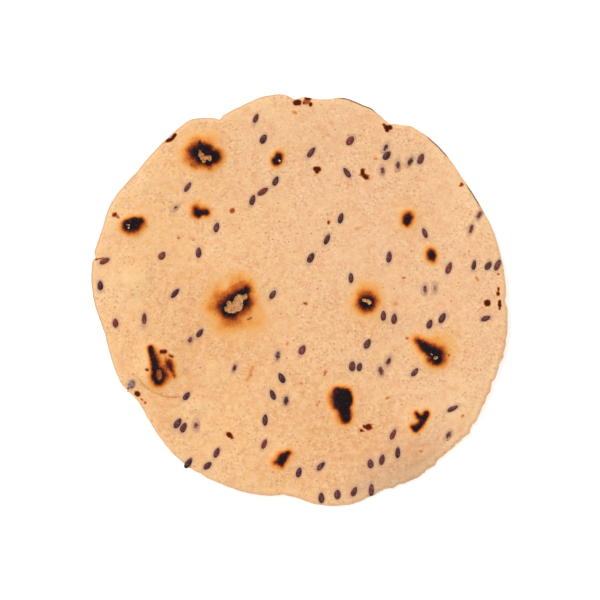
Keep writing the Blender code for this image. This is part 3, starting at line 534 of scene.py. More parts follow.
def strokeDistance(x, y, strokes):
    # distance outside the strokes' outline, and less than 0 inside it
    nearest = np.full_like(x, farAway)
    for x0, y0, half0, x1, y1, half1 in strokes:
        runX, runY = x1 - x0, y1 - y0
        share = np.clip(((x - x0) * runX + (y - y0) * runY) / (runX**2 + runY**2), 0, 1)
        gap = np.hypot(x - x0 - share * runX, y - y0 - share * runY) - (half0 + share * (half1 - half0))
        nearest = np.minimum(nearest, gap)
    return nearest


def burnLevel(x, y, marks, uneven):
    # 0 on plain dough, 1 at the edge of the char and more inside it
    burn = np.zeros_like(x)
    toasted = np.zeros_like(x)
    for mark in marks:
        gap = strokeDistance(x, y, mark["strokes"]) + bake["charInset"]
        first = mark["strokes"][0]
        heading = np.arctan2(y - (first[1] + first[4]) / 2, x - (first[0] + first[3]) / 2)
        side = np.cos(heading - math.radians(mark.get("towards", 0)))
        halo = mark["halo"] * (1 + mark.get("skew", 0) * side) * uneven
        toast = np.clip(1 - gap / halo, 0, 1) ** bake["toastFade"]
        glow = bake["glow"] * np.clip(1 - gap / (halo * bake["glowReach"]), 0, 1)
        if "burn" in mark:
            toasted = np.maximum(toasted, mark["burn"] * toast)
        else:
            charred = bake["charGain"] * np.clip(-gap / bake["charDepth"], 0, 1)
            burn = np.maximum(burn, np.maximum(toast, glow) + charred)
    return burn + toasted * (1 - np.clip(burn, 0, 1))


def haloShare(x, y):
    # makes the halos wider here and narrower there
    found = 1 + bake["haloWander"] * wander(x, y, "halo")[:, 0]
    return np.maximum(found, bake["leastHalo"])


def ovalStroke(x, y, length, width, lean):
    run = max(length - width, bake["leastRun"]) / 2
    runX, runY = run * math.cos(math.radians(lean)), run * math.sin(math.radians(lean))
    return x - runX, y - runY, width / 2, x + runX, y + runY, width / 2


def spotLevel(x, y):
    dark = np.zeros_like(x)
    for spotX, spotY, length, width, lean, darkness, softness in bake["spots"]:
        gap = strokeDistance(x, y, (ovalStroke(spotX, spotY, length, width, lean),))
        dark = np.maximum(dark, darkness * (1 - smoothStep(-softness, softness, gap)))
    return dark


def lowerMarks():
    # each scorch of the lower face is an oval with a smaller one leaning out of it
    marks = []
    part, roundBy = bake["lowerOff"]
    for x, y, length, width, lean, _ in dough["lowerScorches"]:
        across = math.radians(lean + roundBy)
        offs = ((0, 0), (width / part * math.cos(across), width / part * math.sin(across)))
        strokes = [
            ovalStroke(x + offX, y + offY, length * long, width * wide, lean + turn)
            for (offX, offY), (long, wide, turn) in zip(offs, bake["lowerOvals"])
        ]
        marks.append({"halo": bake["lowerHalo"], "strokes": strokes})
    return marks


def seedPlaces():
    # x, y and lean of each seed of the upper face, then of the lower face, as in the solid
    draw = drawFor("seedPlaces")
    upper = []
    for firstX, firstY, lastX, lastY, count, lean in flaxSeed["rows"]:
        for share in np.linspace(0, 1, count):
            x = firstX + (lastX - firstX) * share + draw.normal(0, flaxSeed["shift"])
            y = firstY + (lastY - firstY) * share + draw.normal(0, flaxSeed["shift"])
            upper.append((x, y, lean + draw.normal(0, flaxSeed["leanSpread"])))
    lower = list(flaxSeed["restSeeds"])
    while len(lower) < flaxSeed["lowerCount"]:
        x, y = strewn(draw, flaxSeed["lowerReach"])
        lean = draw.uniform(*flaxSeed["lowerLeans"])
        fromSeeds = min(math.hypot(x - seed[0], y - seed[1]) for seed in lower)
        fromScorches = min(
            math.hypot(x - spot[0], y - spot[1]) - spot[2] / 2 for spot in dough["lowerScorches"]
        )
        if fromSeeds >= flaxSeed["lowerGap"] and fromScorches >= flaxSeed["lowerClear"]:
            lower.append((x, y, lean))
    return upper, lower


# The flaxseeds lie where the solid has them.
flaxSeed = {
    "size": (3.95, 2.1, 1.05),  # length, width, thickness
    "proud": 0.42,  # how much of a seed stands clear of the dough
    "clear": 0.9,  # least height of a lower seed's middle: in the flat middle it leaves them inside the dough
    "spread": 0.1,
    "spreadLimit": 0.2,
    "taper": 0.14,
    "tilt": 4,
    "leanSpread": 13,
    "shift": 0.3,
    "rows": (  # first x, y, last x, y, how many, lean
        (-16.6, 66.0, -13.2, 57.8, 2, 57), (3.4, 53.3, 17.9, 57.5, 2, 60),
        (-8.8, 42.8, -17.7, 36.1, 3, 56), (16.7, 45.5, 29.4, 46.4, 2, 105),
        (30.2, 55.4, 30.8, 52.1, 2, 54), (35.3, 48.8, 43.1, 51.4, 3, 75),
        (-40.2, 40.7, -45.0, 33.3, 2, 52), (-30.3, 25.9, -36.7, 17.3, 2, 74),
        (14.4, 29.4, 3.9, 15.0, 3, 71), (45.0, 24.1, 18.6, 8.5, 3, 95),
        (63.7, 30.9, 61.0, 25.7, 2, 72), (53.6, 11.7, 62.8, 13.2, 2, 65),
        (67.1, 12.7, 70.7, 13.1, 2, 70), (44.3, 4.1, 48.4, 4.5, 2, 70),
        (-9.4, 2.4, -23.7, -24.5, 2, 60), (30.4, -5.3, 34.1, -7.0, 2, 100),
        (46.5, -8.3, 51.1, -6.1, 2, 62), (66.2, -6.0, 55.1, -39.1, 2, 30),
        (-49.4, 16.3, -70.2, 14.0, 2, 22), (-45.0, 2.9, -55.9, -6.2, 2, 54),
        (-72.0, 5.2, -66.0, -8.3, 2, 95), (-36.4, -11.4, -40.2, -14.0, 2, 50),
        (24.1, -15.9, 41.2, -25.5, 2, 47), (18.7, -23.5, 21.2, -23.6, 2, 80),
        (28.1, -25.4, 30.9, -21.6, 2, 100), (1.2, -17.5, -8.4, -19.0, 2, 65),
        (-6.2, -28.0, -10.0, -33.8, 2, 110), (-4.8, -36.0, -12.9, -43.7, 2, 72),
        (-41.1, -34.8, -59.9, -29.2, 2, 50), (-44.2, -44.3, -42.0, -46.1, 2, 60),
        (-37.0, -44.4, -32.9, -58.3, 2, 70), (-12.6, -51.9, -29.8, -54.2, 2, 67),
        (-0.4, -61.4, 7.6, -60.1, 2, 78), (7.6, -70.6, 25.3, -67.9, 4, 82),
        (24.8, -58.9, 35.4, -54.6, 3, 65), (33.0, -48.1, 53.1, -48.1, 2, 62),
        (-40.1, -57.7, -40.1, -57.7, 1, 55),
    ),
    "restSeeds": ((5.9, 33.5, 75), (-31.9, -11.6, 110), (26.0, -21.9, 60)),  # the round stands on these
    "lowerCount": 34,  # rest seeds included
    "lowerReach": 0.93,
    "lowerLeans": (35, 145),
    "lowerGap": 9.5,
    "lowerClear": 4.0,
    "sides": 14,
    "rings": 9,
    "point": 0.1,  # how far the tip is drawn out, as a share of half the length
    "pointPower": 6,
    "stainReach": 0.75,  # how far the dough is stained beyond a seed
    "veilReach": 2.2,
    "greyed": ((-59.9, -29.2), (48.4, 4.5)),  # seeds that flour has greyed all over
    "ruddy": (  # seeds of a redder brown
        (17.9, 57.5), (-49.4, 16.3), (33.0, -48.1), (-13.3, 39.5), (-40.2, -14.0), (-70.2, 14.0),
        (-66.0, -8.3), (53.6, 11.7), (-12.6, -51.9), (0.0, -17.5),
    ),
    "ruddyShare": 0.5,
    # Seeds partly under a film of dough: x, y, how much
    "veiled": (
        (-45.0, 33.3, 0.65), (30.2, 55.4, 0.5), (29.4, 46.4, 0.42), (35.3, 48.8, 0.35), (39.2, 50.6, 0.35),
        (63.7, 30.9, 0.35), (61.0, 25.7, 0.35), (44.3, 4.1, 0.5), (48.4, 4.5, 0.6), (-40.2, -14.0, 0.45),
        (-8.4, -19.0, 0.35), (30.9, -21.6, 0.4), (-23.7, -24.5, 0.4), (28.1, -25.4, 0.35), (-4.8, -36.0, 0.3),
        (-37.0, -44.4, 0.55), (53.1, -48.1, 0.4), (-59.9, -29.2, 0.1), (62.8, 13.2, 0.15), (7.6, -60.1, 0.12),
    ),
}


def seedSizes(count):
    # length, width and thickness of each seed with its tilt, in the solid's order of draws
    draw = drawFor("seedSizes")
    sizes = []
    limit = flaxSeed["spreadLimit"]
    for _ in range(count):
        spreads = np.clip(draw.normal(0, flaxSeed["spread"], 3), -limit, limit)
        sizes.append((np.array(flaxSeed["size"]) * (1 + spreads), draw.normal(0, flaxSeed["tilt"])))
    return sizes


def seedReach(x, y, places, sizes):
    # distance beyond the nearest seed's outline
    nearest = np.full_like(x, farAway)
    for (seedX, seedY, lean), (size, _) in zip(places, sizes):
        reach = ovalReach(x, y, (seedX, seedY, size[0], size[1], lean))
        nearest = np.minimum(nearest, (reach - 1) * size[1] / 2)
    return nearest


def seedGaps(x, y, onTop, seeds):
    # distance beyond the nearest seed of the same face
    count = len(seeds["upper"])
    upper = seedReach(x, y, seeds["upper"], seeds["sizes"][:count])
    lower = seedReach(x, y, seeds["lower"], seeds["sizes"][count:])
    return np.where(onTop, upper, lower)


def makeActive(thing):
    bpy.ops.object.select_all(action="DESELECT")
    thing.select_set(True)
    bpy.context.view_layer.objects.active = thing


def applyModifier(thing, modifier):
    makeActive(thing)
    bpy.ops.object.modifier_apply(modifier=modifier.name)


def flatDisc(span):
    # a disc of radius 1 filled with a grid, given two faces and a brink
    bpy.ops.object.select_all(action="DESELECT")
    bpy.ops.mesh.primitive_circle_add(vertices=4 * span, radius=1.0)
    disc = bpy.context.object
    bpy.ops.object.mode_set(mode="EDIT")
    bpy.ops.mesh.select_all(action="SELECT")
    bpy.ops.mesh.fill_grid(span=span)
    bpy.ops.object.mode_set(mode="OBJECT")
    wall = disc.modifiers.new("twoFaces", "SOLIDIFY")
    wall.thickness = dough["blankThickness"]
    wall.offset = -1.0
    applyModifier(disc, wall)
    return disc


def keepField(mesh, name, values):
    # a number at each point, for the finish to read
    mesh.attributes.new(name, "FLOAT", "POINT").data.foreach_set("value", values.astype(np.float32))


def readVectors(items, name):
    values = np.empty(len(items) * 3)
    items.foreach_get(name, values)
    return values.reshape(-1, 3)


def subdivideChosen(thing, kind, chosen, cuts):
    # kind is "edges" or "polygons"
    bpy.context.tool_settings.mesh_select_mode = (False, kind == "edges", kind == "polygons")
    mesh = thing.data
    for items in (mesh.vertices, mesh.edges, mesh.polygons):
        items.foreach_set("select", np.zeros(len(items), bool))
    getattr(mesh, kind).foreach_set("select", chosen)
    makeActive(thing)
    bpy.ops.object.mode_set(mode="EDIT")
    bpy.ops.mesh.subdivide(number_cuts=cuts)
    bpy.ops.object.mode_set(mode="OBJECT")


def subdivideBrink(thing, cuts):
    # the upright edges between the two faces
    mesh = thing.data
    heights = readVectors(mesh.vertices, "co")[:, 2]
    ends = np.empty(len(mesh.edges) * 2, int)
    mesh.edges.foreach_get("vertices", ends)
    ends = ends.reshape(-1, 2)
    upright = np.abs(heights[ends[:, 0]] - heights[ends[:, 1]]) > dough["blankThickness"] / 2
    subdivideChosen(thing, "edges", upright, cuts)


def refineMarks(disc, seeds):
    # divides the faces near burnt places, seeds and torn edges, on either side, so that they are crisp
    x, y, share = planPoints(readVectors(disc.data.polygons, "center"))
    normals = readVectors(disc.data.polygons, "normal")
    angle = angleOf(x, y)
    up = normals[:, 2] > mostly
    down = normals[:, 2] < -mostly
    even = np.ones_like(x)
    charredMarks = [mark for mark in bake["marks"] if "burn" not in mark]
    burnt = np.where(up, burnLevel(x, y, charredMarks, even), burnLevel(x, y, lowerMarks(), even))
    detail = np.where(up, np.maximum(spotLevel(x, y), wrinkleLevel(x, y)), 0)
    reach = seedGaps(x, y, up, seeds)
    edge = (crumbled(angle) + darkened(angle) > mostly) & (insetOf(share) < dough["crumbBand"])
    limits = dough["refineBeyond"]
    marked = (burnt > limits["burn"]) | (detail > limits["spot"]) | (reach < limits["seedGap"])
    subdivideChosen(disc, "polygons", (up | down) & marked | edge, dough["markCuts"])


def toneLevel(x, y):
    # above 0 where the dough is browner, and where one patch paints shade on the crumbled rim; below 0 where
    # it is paler
    tone = np.zeros_like(x)
    for middleX, middleY, reach, amount in bake["patches"]:
        tone += amount * np.exp(-((x - middleX) ** 2 + (y - middleY) ** 2) / reach**2)
    return tone


def wrinkleLevel(x, y):
    lines = np.zeros_like(x)
    for middleX, middleY, radius, ends, strength in bake["wrinkles"]:
        angle = angleOf(x - middleX, y - middleY)
        off = (np.hypot(x - middleX, y - middleY) - radius) / bake["wrinkleWidth"]
        lines = np.maximum(lines, strength * np.exp(-(off**2)) * sector(angle, ends, bake["wrinkleFade"]))
    return lines


def pimpleHeight(x, y):
    # small bubbles strewn over the face
    draw = drawFor("pimples")
    height = np.zeros_like(x)
    for _ in range(bake["pimples"]):
        middleX, middleY = strewn(draw, bake["pimpleReach"])
        width = draw.uniform(*bake["pimpleWidth"])
        tall = draw.uniform(*bake["pimpleHeight"])
        gap = np.hypot(x - middleX, y - middleY) / (width / 2)
        height = np.maximum(height, tall * np.clip(1 - gap**2, 0, 1) ** bake["pimplePower"])
    return height


def shapeDough(piece, seeds):
    # puts each point of the flat disc on the tostada's form, and keeps what the finish needs to know there
    mesh = piece.data
    flat = readVectors(mesh.vertices, "co")
    level = (flat[:, 2] - flat[:, 2].min()) / np.ptp(flat[:, 2])
    x, y, share = planPoints(flat)
    angle = angleOf(x, y)
    inset = insetOf(share)

    coarse = wander(x, y, "warp")[:, :2] * bake["warp"]
    fine = wander(x, y, "fineWarp")[:, :2] * bake["fineWarp"]
    movedX, movedY = (np.array([x, y]).T + coarse + fine * bake["fineWarpShare"]).T
    rough = wander(x, y, "charCrust")[:, 0]
    grit = wander(x, y, "grit")[:, 0] * bake["grit"]
    lumps = wander(x, y, "lumps")[:, 0] * bake["lumps"]

    uneven = haloShare(x, y)
    burnUpper = burnLevel(movedX, movedY, bake["marks"], uneven)
    burnLower = burnLevel(movedX, movedY, lowerMarks(), uneven)
    hole = np.full_like(x, farAway)
    holeDepth = np.zeros_like(x)
    crumbBrown = np.zeros_like(x)
    for depth, brown, strokes in bake["bursts"]:
        gap = strokeDistance(x + fine[:, 0], y + fine[:, 1], strokes)
        crumbBrown = np.where(gap < hole, brown, crumbBrown)
        hole = np.minimum(hole, gap)
        inside = 1 - smoothStep(-bake["burstEdge"], bake["burstEdge"], gap)
        holeDepth = np.maximum(holeDepth, depth * inside)
    pimples = pimpleHeight(x, y)
    charred = smoothStep(*bake["charSpan"], burnUpper)
    crust = (bake["crustLevel"] - np.abs(rough)) / bake["crustLevel"] * bake["charCrust"] * charred
    lip = bake["lipRaise"] * np.exp(-((hole / bake["lipReach"] - 1) ** 2)) * charred

    sunk = np.maximum(pitDepth(x, y) * bake["pitShare"], holeDepth)
    inner = smoothStep(0.0, dough["plainRim"], inset)
    upper = upperHeight(x, y, share) - sunk + (grit + lumps + pimples * (1 - charred) + crust + lip) * inner
    lower = lowerHeight(x, y, share) + np.abs(grit) * inner

    onBrink = 4 * level * (1 - level)  # 1 half way up the brink and 0 on both faces
    grown = 1 + onBrink * dough["brinkBulge"] / dough["meanRadius"]
    middle = planMiddle()
    loose = crumbled(angle) * (1 - smoothStep(0, dough["crumbBand"], inset))
    crumbs = wander(x, y, "crumbs")[:, :2] * dough["crumbSize"] * loose[:, None]
    plan = np.column_stack((x * grown, y * grown)) + crumbs - middle
    placed = np.column_stack((plan, lower + (upper - lower) * level))
    mesh.vertices.foreach_set("co", (placed * mm).ravel())
    mesh.update()

    onTop = level > mostly
    # painted shade: a thin grey line along the brink, and a greyer crumbled stretch
    ends, fade, band, elsewhere = bake["paintedEdgeShade"]
    paintedEdgeShade = (1 - smoothStep(0.0, band, inset)) * (elsewhere + (1 - elsewhere) * sector(angle, ends, fade))
    ends, fade, band, shadeAmount = bake["paintedDullShade"]
    paintedDullShade = shadeAmount * (1 - smoothStep(0, band, inset)) * sector(angle, ends, fade)
    tone = toneLevel(x, y)
    fields = {
        "burn": np.where(onTop, burnUpper, burnLower),
        "spot": np.where(onTop, spotLevel(movedX, movedY), 0),
        "burst": np.where(onTop, np.clip(mostly - hole / bake["burstBlend"], 0, 1), 0),
        "crumbBrown": crumbBrown,
        "puff": np.where(onTop, blisterHeight(x, y) + bake["pimplePuff"] * pimples, 0),
        "crease": np.where(onTop, wrinkleLevel(x + coarse[:, 0], y + coarse[:, 1]), 0),
        "brownerAndShade": np.clip(tone, 0, 1),
        "paler": np.clip(-tone, 0, 1) + bake["paleRimShare"] * (1 - smoothStep(0, bake["paleRim"], inset)),
        "pinker": smoothStep(*bake["pinkSpan"], x + bake["pinkLean"] * y),
        "stain": 1 - smoothStep(0, flaxSeed["stainReach"], seedGaps(x, y, onTop, seeds)),
        "under": 1 - level,
        "rim": np.maximum(paintedEdgeShade, paintedDullShade),
        "darkRim": darkened(angle) * (1 - smoothStep(*bake["darkRimSpan"], inset)),
    }
    for name, values in fields.items():
        keepField(mesh, name, values)


def makeDough(seeds):
    piece = flatDisc(dough["gridSpan"])
    piece.name = "doughRound"
    subdivideBrink(piece, dough["brinkCuts"])
    refineMarks(piece, seeds)
    shapeDough(piece, seeds)
    makeActive(piece)
    bpy.ops.object.mode_set(mode="EDIT")
    bpy.ops.mesh.select_all(action="SELECT")
    bpy.ops.mesh.normals_make_consistent(inside=False)
    bpy.ops.object.mode_set(mode="OBJECT")
    bpy.ops.object.shade_smooth()
    piece.data.materials.append(toastedDoughFinish())
    return piece


# Nodes of a finish

def linear(red, green, blue):
    # turns a screen's colour, from 0 to 255, into the shader's by the screen's own curve
    shares = [value / 255 for value in (red, green, blue)]
    return tuple(s / 12.92 if s <= 0.04045 else ((s + 0.055) / 1.055) ** 2.4 for s in shares) + (1.0,)


def newFinish(name):
    finish = bpy.data.materials.new(name)
    finish.use_nodes = True
    return finish, finish.node_tree, finish.node_tree.nodes["Principled BSDF"]


def fieldNode(tree, name):
    node = tree.nodes.new("ShaderNodeAttribute")
    node.attribute_name = name
    return node.outputs["Fac"]


def noiseNode(tree, place, length, detail, roughness):
    # noise whose lumps are about this many millimetres apart
    node = tree.nodes.new("ShaderNodeTexNoise")
    tree.links.new(place, node.inputs["Vector"])
    node.inputs["Scale"].default_value = 1 / (length * mm)
    node.inputs["Detail"].default_value = detail
    node.inputs["Roughness"].default_value = roughness
    return node.outputs["Fac"]


def mathNode(tree, operation, first, second, clamp=False):
    node = tree.nodes.new("ShaderNodeMath")
    node.operation = operation
    node.use_clamp = clamp
    for socket, value in zip(node.inputs, (first, second)):
        if isinstance(value, (int, float)):
            socket.default_value = value
        else:
            tree.links.new(value, socket)
    return node.outputs["Value"]


def rangeNode(tree, value, low, high, toLow=0.0, toHigh=1.0):
    node = tree.nodes.new("ShaderNodeMapRange")
    node.interpolation_type = "SMOOTHSTEP"
    tree.links.new(value, node.inputs["Value"])
    node.inputs["From Min"].default_value = low
    node.inputs["From Max"].default_value = high
    node.inputs["To Min"].default_value = toLow
    node.inputs["To Max"].default_value = toHigh
    return node.outputs["Result"]


def mixNode(tree, share, first, second):
    node = tree.nodes.new("ShaderNodeMix")
    node.data_type = "RGBA"
    sockets = [socket for socket in node.inputs if socket.enabled]
    for socket, value in zip(sockets, (share, first, second)):
        if isinstance(value, (int, float, tuple)):
            socket.default_value = value
        else:
            tree.links.new(value, socket)
    return next(socket for socket in node.outputs if socket.enabled)


def rampNode(tree, value, stops):
    node = tree.nodes.new("ShaderNodeValToRGB")
    tree.links.new(value, node.inputs["Fac"])
    elements = node.color_ramp.elements
    while len(elements) < len(stops):
        elements.new(0.5)
    for element, (place, colour) in zip(elements, stops):
        element.position = place
        element.color = linear(*colour)
    return node.outputs["Color"]


def noiseShare(tree, place, layer):
    return rangeNode(tree, noiseNode(tree, place, *layer["noise"]), *layer["span"])


def swingNode(tree, place, settings, strength):
    # noise that swings either way about 0
    centred = mathNode(tree, "SUBTRACT", noiseNode(tree, place, *settings), 0.5)
    return mathNode(tree, "MULTIPLY", centred, strength)


def tint(tree, colour, share, layer):
    # moves the colour towards the layer's own where the share is high
    if "strength" in layer:
        share = mathNode(tree, "MULTIPLY", share, layer["strength"])
    return mixNode(tree, share, colour, linear(*layer["colour"]))


def addBumps(tree, shader, place, layers):
    normal = None
    for settings, depth, strength in layers:
        node = tree.nodes.new("ShaderNodeBump")
        tree.links.new(noiseNode(tree, place, *settings), node.inputs["Height"])
        node.inputs["Distance"].default_value = depth * mm
        node.inputs["Strength"].default_value = strength
        if normal is not None:
            tree.links.new(normal, node.inputs["Normal"])
        normal = node.outputs["Normal"]
    tree.links.new(normal, shader.inputs["Normal"])


# How the dough looks. Colours are a screen's, from 0 to 255. A noise is how far apart its lumps are in
# millimetres, its detail and its roughness, and a span is from and to, and what it is turned into.
doughLook = {
    "warm": (249, 191, 131),
    "pink": (240, 190, 147),
    "cloud": {"noise": (11.0, 3.0, 0.6), "span": (0.4, 0.65), "strength": 0.42, "colour": (240, 182, 124)},
    "brownerAndShade": {"strength": 0.8, "colour": (230, 164, 104)},
    "paler": {"strength": 0.8, "colour": (251, 209, 158)},
    "blush": {"noise": (4.2, 2.0, 0.5), "span": (0.45, 0.68), "strength": 0.6, "colour": (238, 174, 128)},
    "mottle": {"noise": (2.4, 3.0, 0.6), "span": (0.35, 0.65), "strength": 0.6, "colour": (250, 206, 156)},
    "grain": (0.95, 3.0, 0.65),
    "grainPlaces": {"noise": (7.5, 2.0, 0.5), "span": (0.38, 0.62, 0.4, 1.0)},
    "darkGrain": {"span": (0.50, 0.28, 0, 0.78), "colour": (200, 144, 102)},
    "paleGrain": {"span": (0.52, 0.74, 0, 0.7), "colour": (255, 226, 186)},
    "freckle": {"strength": 0.75, "colour": (200, 108, 62)},
    "freckleApart": 2.2,
    "freckleSize": (0.26, 0.06),
    "freckleChosen": (0.62, 0.9),
    "puff": {"strength": 0.36, "colour": (250, 210, 152)},
    "puffSpan": (0.05, 1.3),
    "crease": {"strength": 0.6, "colour": (186, 116, 58)},
    "under": {"colour": (222, 160, 100)},
    "underSpan": (0.0, 1.0, 0.42, 0.62),
    "stain": {"strength": 0.6, "colour": (184, 148, 130)},
    "stirs": (((2.8, 2.0, 0.5), 0.3), ((0.7, 2.0, 0.6), 0.22)),  # noise that makes the toasting ragged
    "toastSpan": (0.0, 0.3),
    "toast": (
        (0.0, (246, 190, 126)), (0.10, (245, 186, 116)), (0.20, (243, 178, 108)), (0.30, (240, 167, 92)),
        (0.40, (231, 147, 66)), (0.50, (209, 113, 43)), (0.58, (176, 82, 30)), (0.66, (128, 52, 26)),
        (0.73, (84, 34, 24)), (0.79, (48, 22, 22)), (0.87, (30, 15, 20)), (1.0, (22, 14, 20)),
    ),
    "ember": {"noise": (1.1, 3.0, 0.6), "span": (0.55, 0.7, 0, 0.7), "colour": (84, 34, 26)},
    "emberSpan": (0.7, 0.8),
    "scorchSpan": (0.0, 0.25),
    "scorch": (
        (0.0, (238, 172, 110)), (0.25, (220, 140, 82)), (0.45, (176, 94, 54)),
        (0.65, (120, 52, 30)), (0.85, (84, 32, 18)), (1.0, (58, 24, 16)),
    ),
    "patchy": (1.0, 3.0, 0.7),  # unevenness of the bare crumb, how strong, and what makes it even out
    "patchyStrength": 1.3,
    "patchyMiddle": 0.65,
    "crumb": (
        (0.0, (238, 216, 182)), (0.3, (228, 182, 128)), (0.6, (206, 146, 92)),
        (0.8, (182, 98, 52)), (1.0, (146, 70, 40)),
    ),
    "fray": ((0.6, 2.0, 0.6), 0.8),
    "burstSpan": (0.44, 0.58),
    # colour of the painted shade along the edge
    "rim": {"colour": (190, 157, 132)},
    "rimShadeStrength": 0.6,
    "darkRim": {"strength": 0.8, "colour": (84, 44, 30)},
    "charSpan": (0.7, 0.82),
    "roughness": (0.8, 0.6),  # of dough, and of char
    "specular": 0.09,
    "bumps": (((0.5, 3.0, 0.6), 0.05, 0.4), ((1.8, 2.0, 0.5), 0.1, 0.35)),  # noise, depth, strength
}


def toastedDoughFinish():
    finish, tree, shader = newFinish("toastedDough")
    place = tree.nodes.new("ShaderNodeTexCoord").outputs["Object"]
    look = doughLook

    # pale corn dough, warmer or pinker from patch to patch
    colour = mixNode(tree, fieldNode(tree, "pinker"), linear(*look["warm"]), linear(*look["pink"]))
    cloud = noiseShare(tree, place, look["cloud"])
    colour = tint(tree, colour, cloud, look["cloud"])
    for name in ("brownerAndShade", "paler"):
        colour = tint(tree, colour, fieldNode(tree, name), look[name])
    for name in ("blush", "mottle"):
        colour = tint(tree, colour, noiseShare(tree, place, look[name]), look[name])

    # grit: pale and dark grains of maize, stronger in some places, and reddish ones here and there
    grain = noiseNode(tree, place, *look["grain"])
    strong = noiseShare(tree, place, look["grainPlaces"])
    for name in ("darkGrain", "paleGrain"):
        share = mathNode(tree, "MULTIPLY", strong, rangeNode(tree, grain, *look[name]["span"]))
        colour = tint(tree, colour, share, look[name])
    freckle = tree.nodes.new("ShaderNodeTexVoronoi")
    tree.links.new(place, freckle.inputs["Vector"])
    freckle.inputs["Scale"].default_value = 1 / (look["freckleApart"] * mm)
    dot = rangeNode(tree, freckle.outputs["Distance"], *look["freckleSize"])
    chosen = rangeNode(tree, freckle.outputs["Color"], *look["freckleChosen"])
    colour = tint(tree, colour, mathNode(tree, "MULTIPLY", dot, chosen), look["freckle"])

    # thin, paler skin over the blisters, and brown in the creases
    puff = rangeNode(tree, fieldNode(tree, "puff"), *look["puffSpan"])
    colour = tint(tree, colour, puff, look["puff"])
    colour = tint(tree, colour, fieldNode(tree, "crease"), look["crease"])

    # the lower face is more evenly toasted
    under = mathNode(tree, "MULTIPLY", fieldNode(tree, "under"), rangeNode(tree, cloud, *look["underSpan"]))
    colour = tint(tree, colour, under, look["under"])

    # seeds stain the dough round them
    colour = tint(tree, colour, fieldNode(tree, "stain"), look["stain"])

    # toasting, from yellow through orange and red-brown to char
    burn = fieldNode(tree, "burn")
    mask = rangeNode(tree, burn, *look["toastSpan"])
    stirs = [swingNode(tree, place, settings, strength) for settings, strength in look["stirs"]]
    stir = mathNode(tree, "ADD", *stirs)
    level = mathNode(tree, "ADD", burn, mathNode(tree, "MULTIPLY", stir, mask))
    level = mathNode(tree, "DIVIDE", level, 1 + bake["charGain"], clamp=True)
    toast = rampNode(tree, level, look["toast"])
    colour = mixNode(tree, rangeNode(tree, level, *look["toastSpan"]), colour, toast)
    ember = noiseShare(tree, place, look["ember"])
    ember = mathNode(tree, "MULTIPLY", ember, rangeNode(tree, level, *look["emberSpan"]))
    colour = tint(tree, colour, ember, look["ember"])

    # small spots go straight from brown to maroon
    spot = fieldNode(tree, "spot")
    scorch = rampNode(tree, spot, look["scorch"])
    colour = mixNode(tree, rangeNode(tree, spot, *look["scorchSpan"]), colour, scorch)

    # bare crumb in the holes that burst
    patchy = mathNode(tree, "MULTIPLY", noiseNode(tree, place, *look["patchy"]), look["patchyStrength"])
    patchy = mathNode(tree, "SUBTRACT", patchy, look["patchyMiddle"])
    brown = mathNode(tree, "ADD", fieldNode(tree, "crumbBrown"), patchy)
    crumb = rampNode(tree, brown, look["crumb"])
    frayed = mathNode(tree, "ADD", fieldNode(tree, "burst"), swingNode(tree, place, *look["fray"]))
    burst = rangeNode(tree, frayed, *look["burstSpan"])
    colour = mixNode(tree, burst, colour, crumb)

    # the edge: a thin greyer line of painted shade where it isn't burnt, and the burnt lower edge where it
    # shows
    rim = mathNode(tree, "MULTIPLY", fieldNode(tree, "rim"), look["rimShadeStrength"])
    for burnt in (burn, spot):
        rim = mathNode(tree, "SUBTRACT", rim, burnt, clamp=True)
    colour = tint(tree, colour, rim, look["rim"])
    colour = tint(tree, colour, fieldNode(tree, "darkRim"), look["darkRim"])
    tree.links.new(colour, shader.inputs["Base Color"])

    char = mathNode(tree, "SUBTRACT", rangeNode(tree, level, *look["charSpan"]), burst, clamp=True)
    tree.links.new(rangeNode(tree, char, 0, 1, *look["roughness"]), shader.inputs["Roughness"])
    shader.inputs["Specular IOR Level"].default_value = look["specular"]
    addBumps(tree, shader, place, look["bumps"])
    return finish


# How a seed's coat looks, given as the dough's look is
flaxLook = {
    "dark": (66, 27, 28),
    "light": (106, 52, 50),
    "ruddy": {"colour": (146, 44, 34)},
    # painted highlight: pale streaks where the glossy coat reflects the light, kept to the seed's top
    "paintedHighlight": {"noise": (0.8, 3.0, 0.6), "span": (0.48, 0.66, 0, 0.5), "colour": (160, 112, 106)},
    "highlightPlaces": (0.9, 0.4),
    "outline": {"colour": (60, 30, 30)},
    "outlineSpan": (0.6, 0.95, 0, 0.4),
    "flour": {"noise": (1.1, 3.0, 0.6), "span": (0.38, 0.58, 0.25, 0.85), "colour": (162, 136, 132)},
    "filmFray": ((1.0, 2.0, 0.5), 0.9),
    "thinFilm": {"colour": (170, 130, 114)},
    "thinFilmSpan": (0.85, 1.1, 0, 0.62),
    "film": {"colour": (226, 174, 130)},
    "filmSpan": (1.0, 1.35, 0, 0.95),
    "roughness": (0, 0.6, 0.42, 0.9),
    "specular": 0.22,
    "bumps": (((0.25, 2.0, 0.5), 0.02, 0.4),),
}


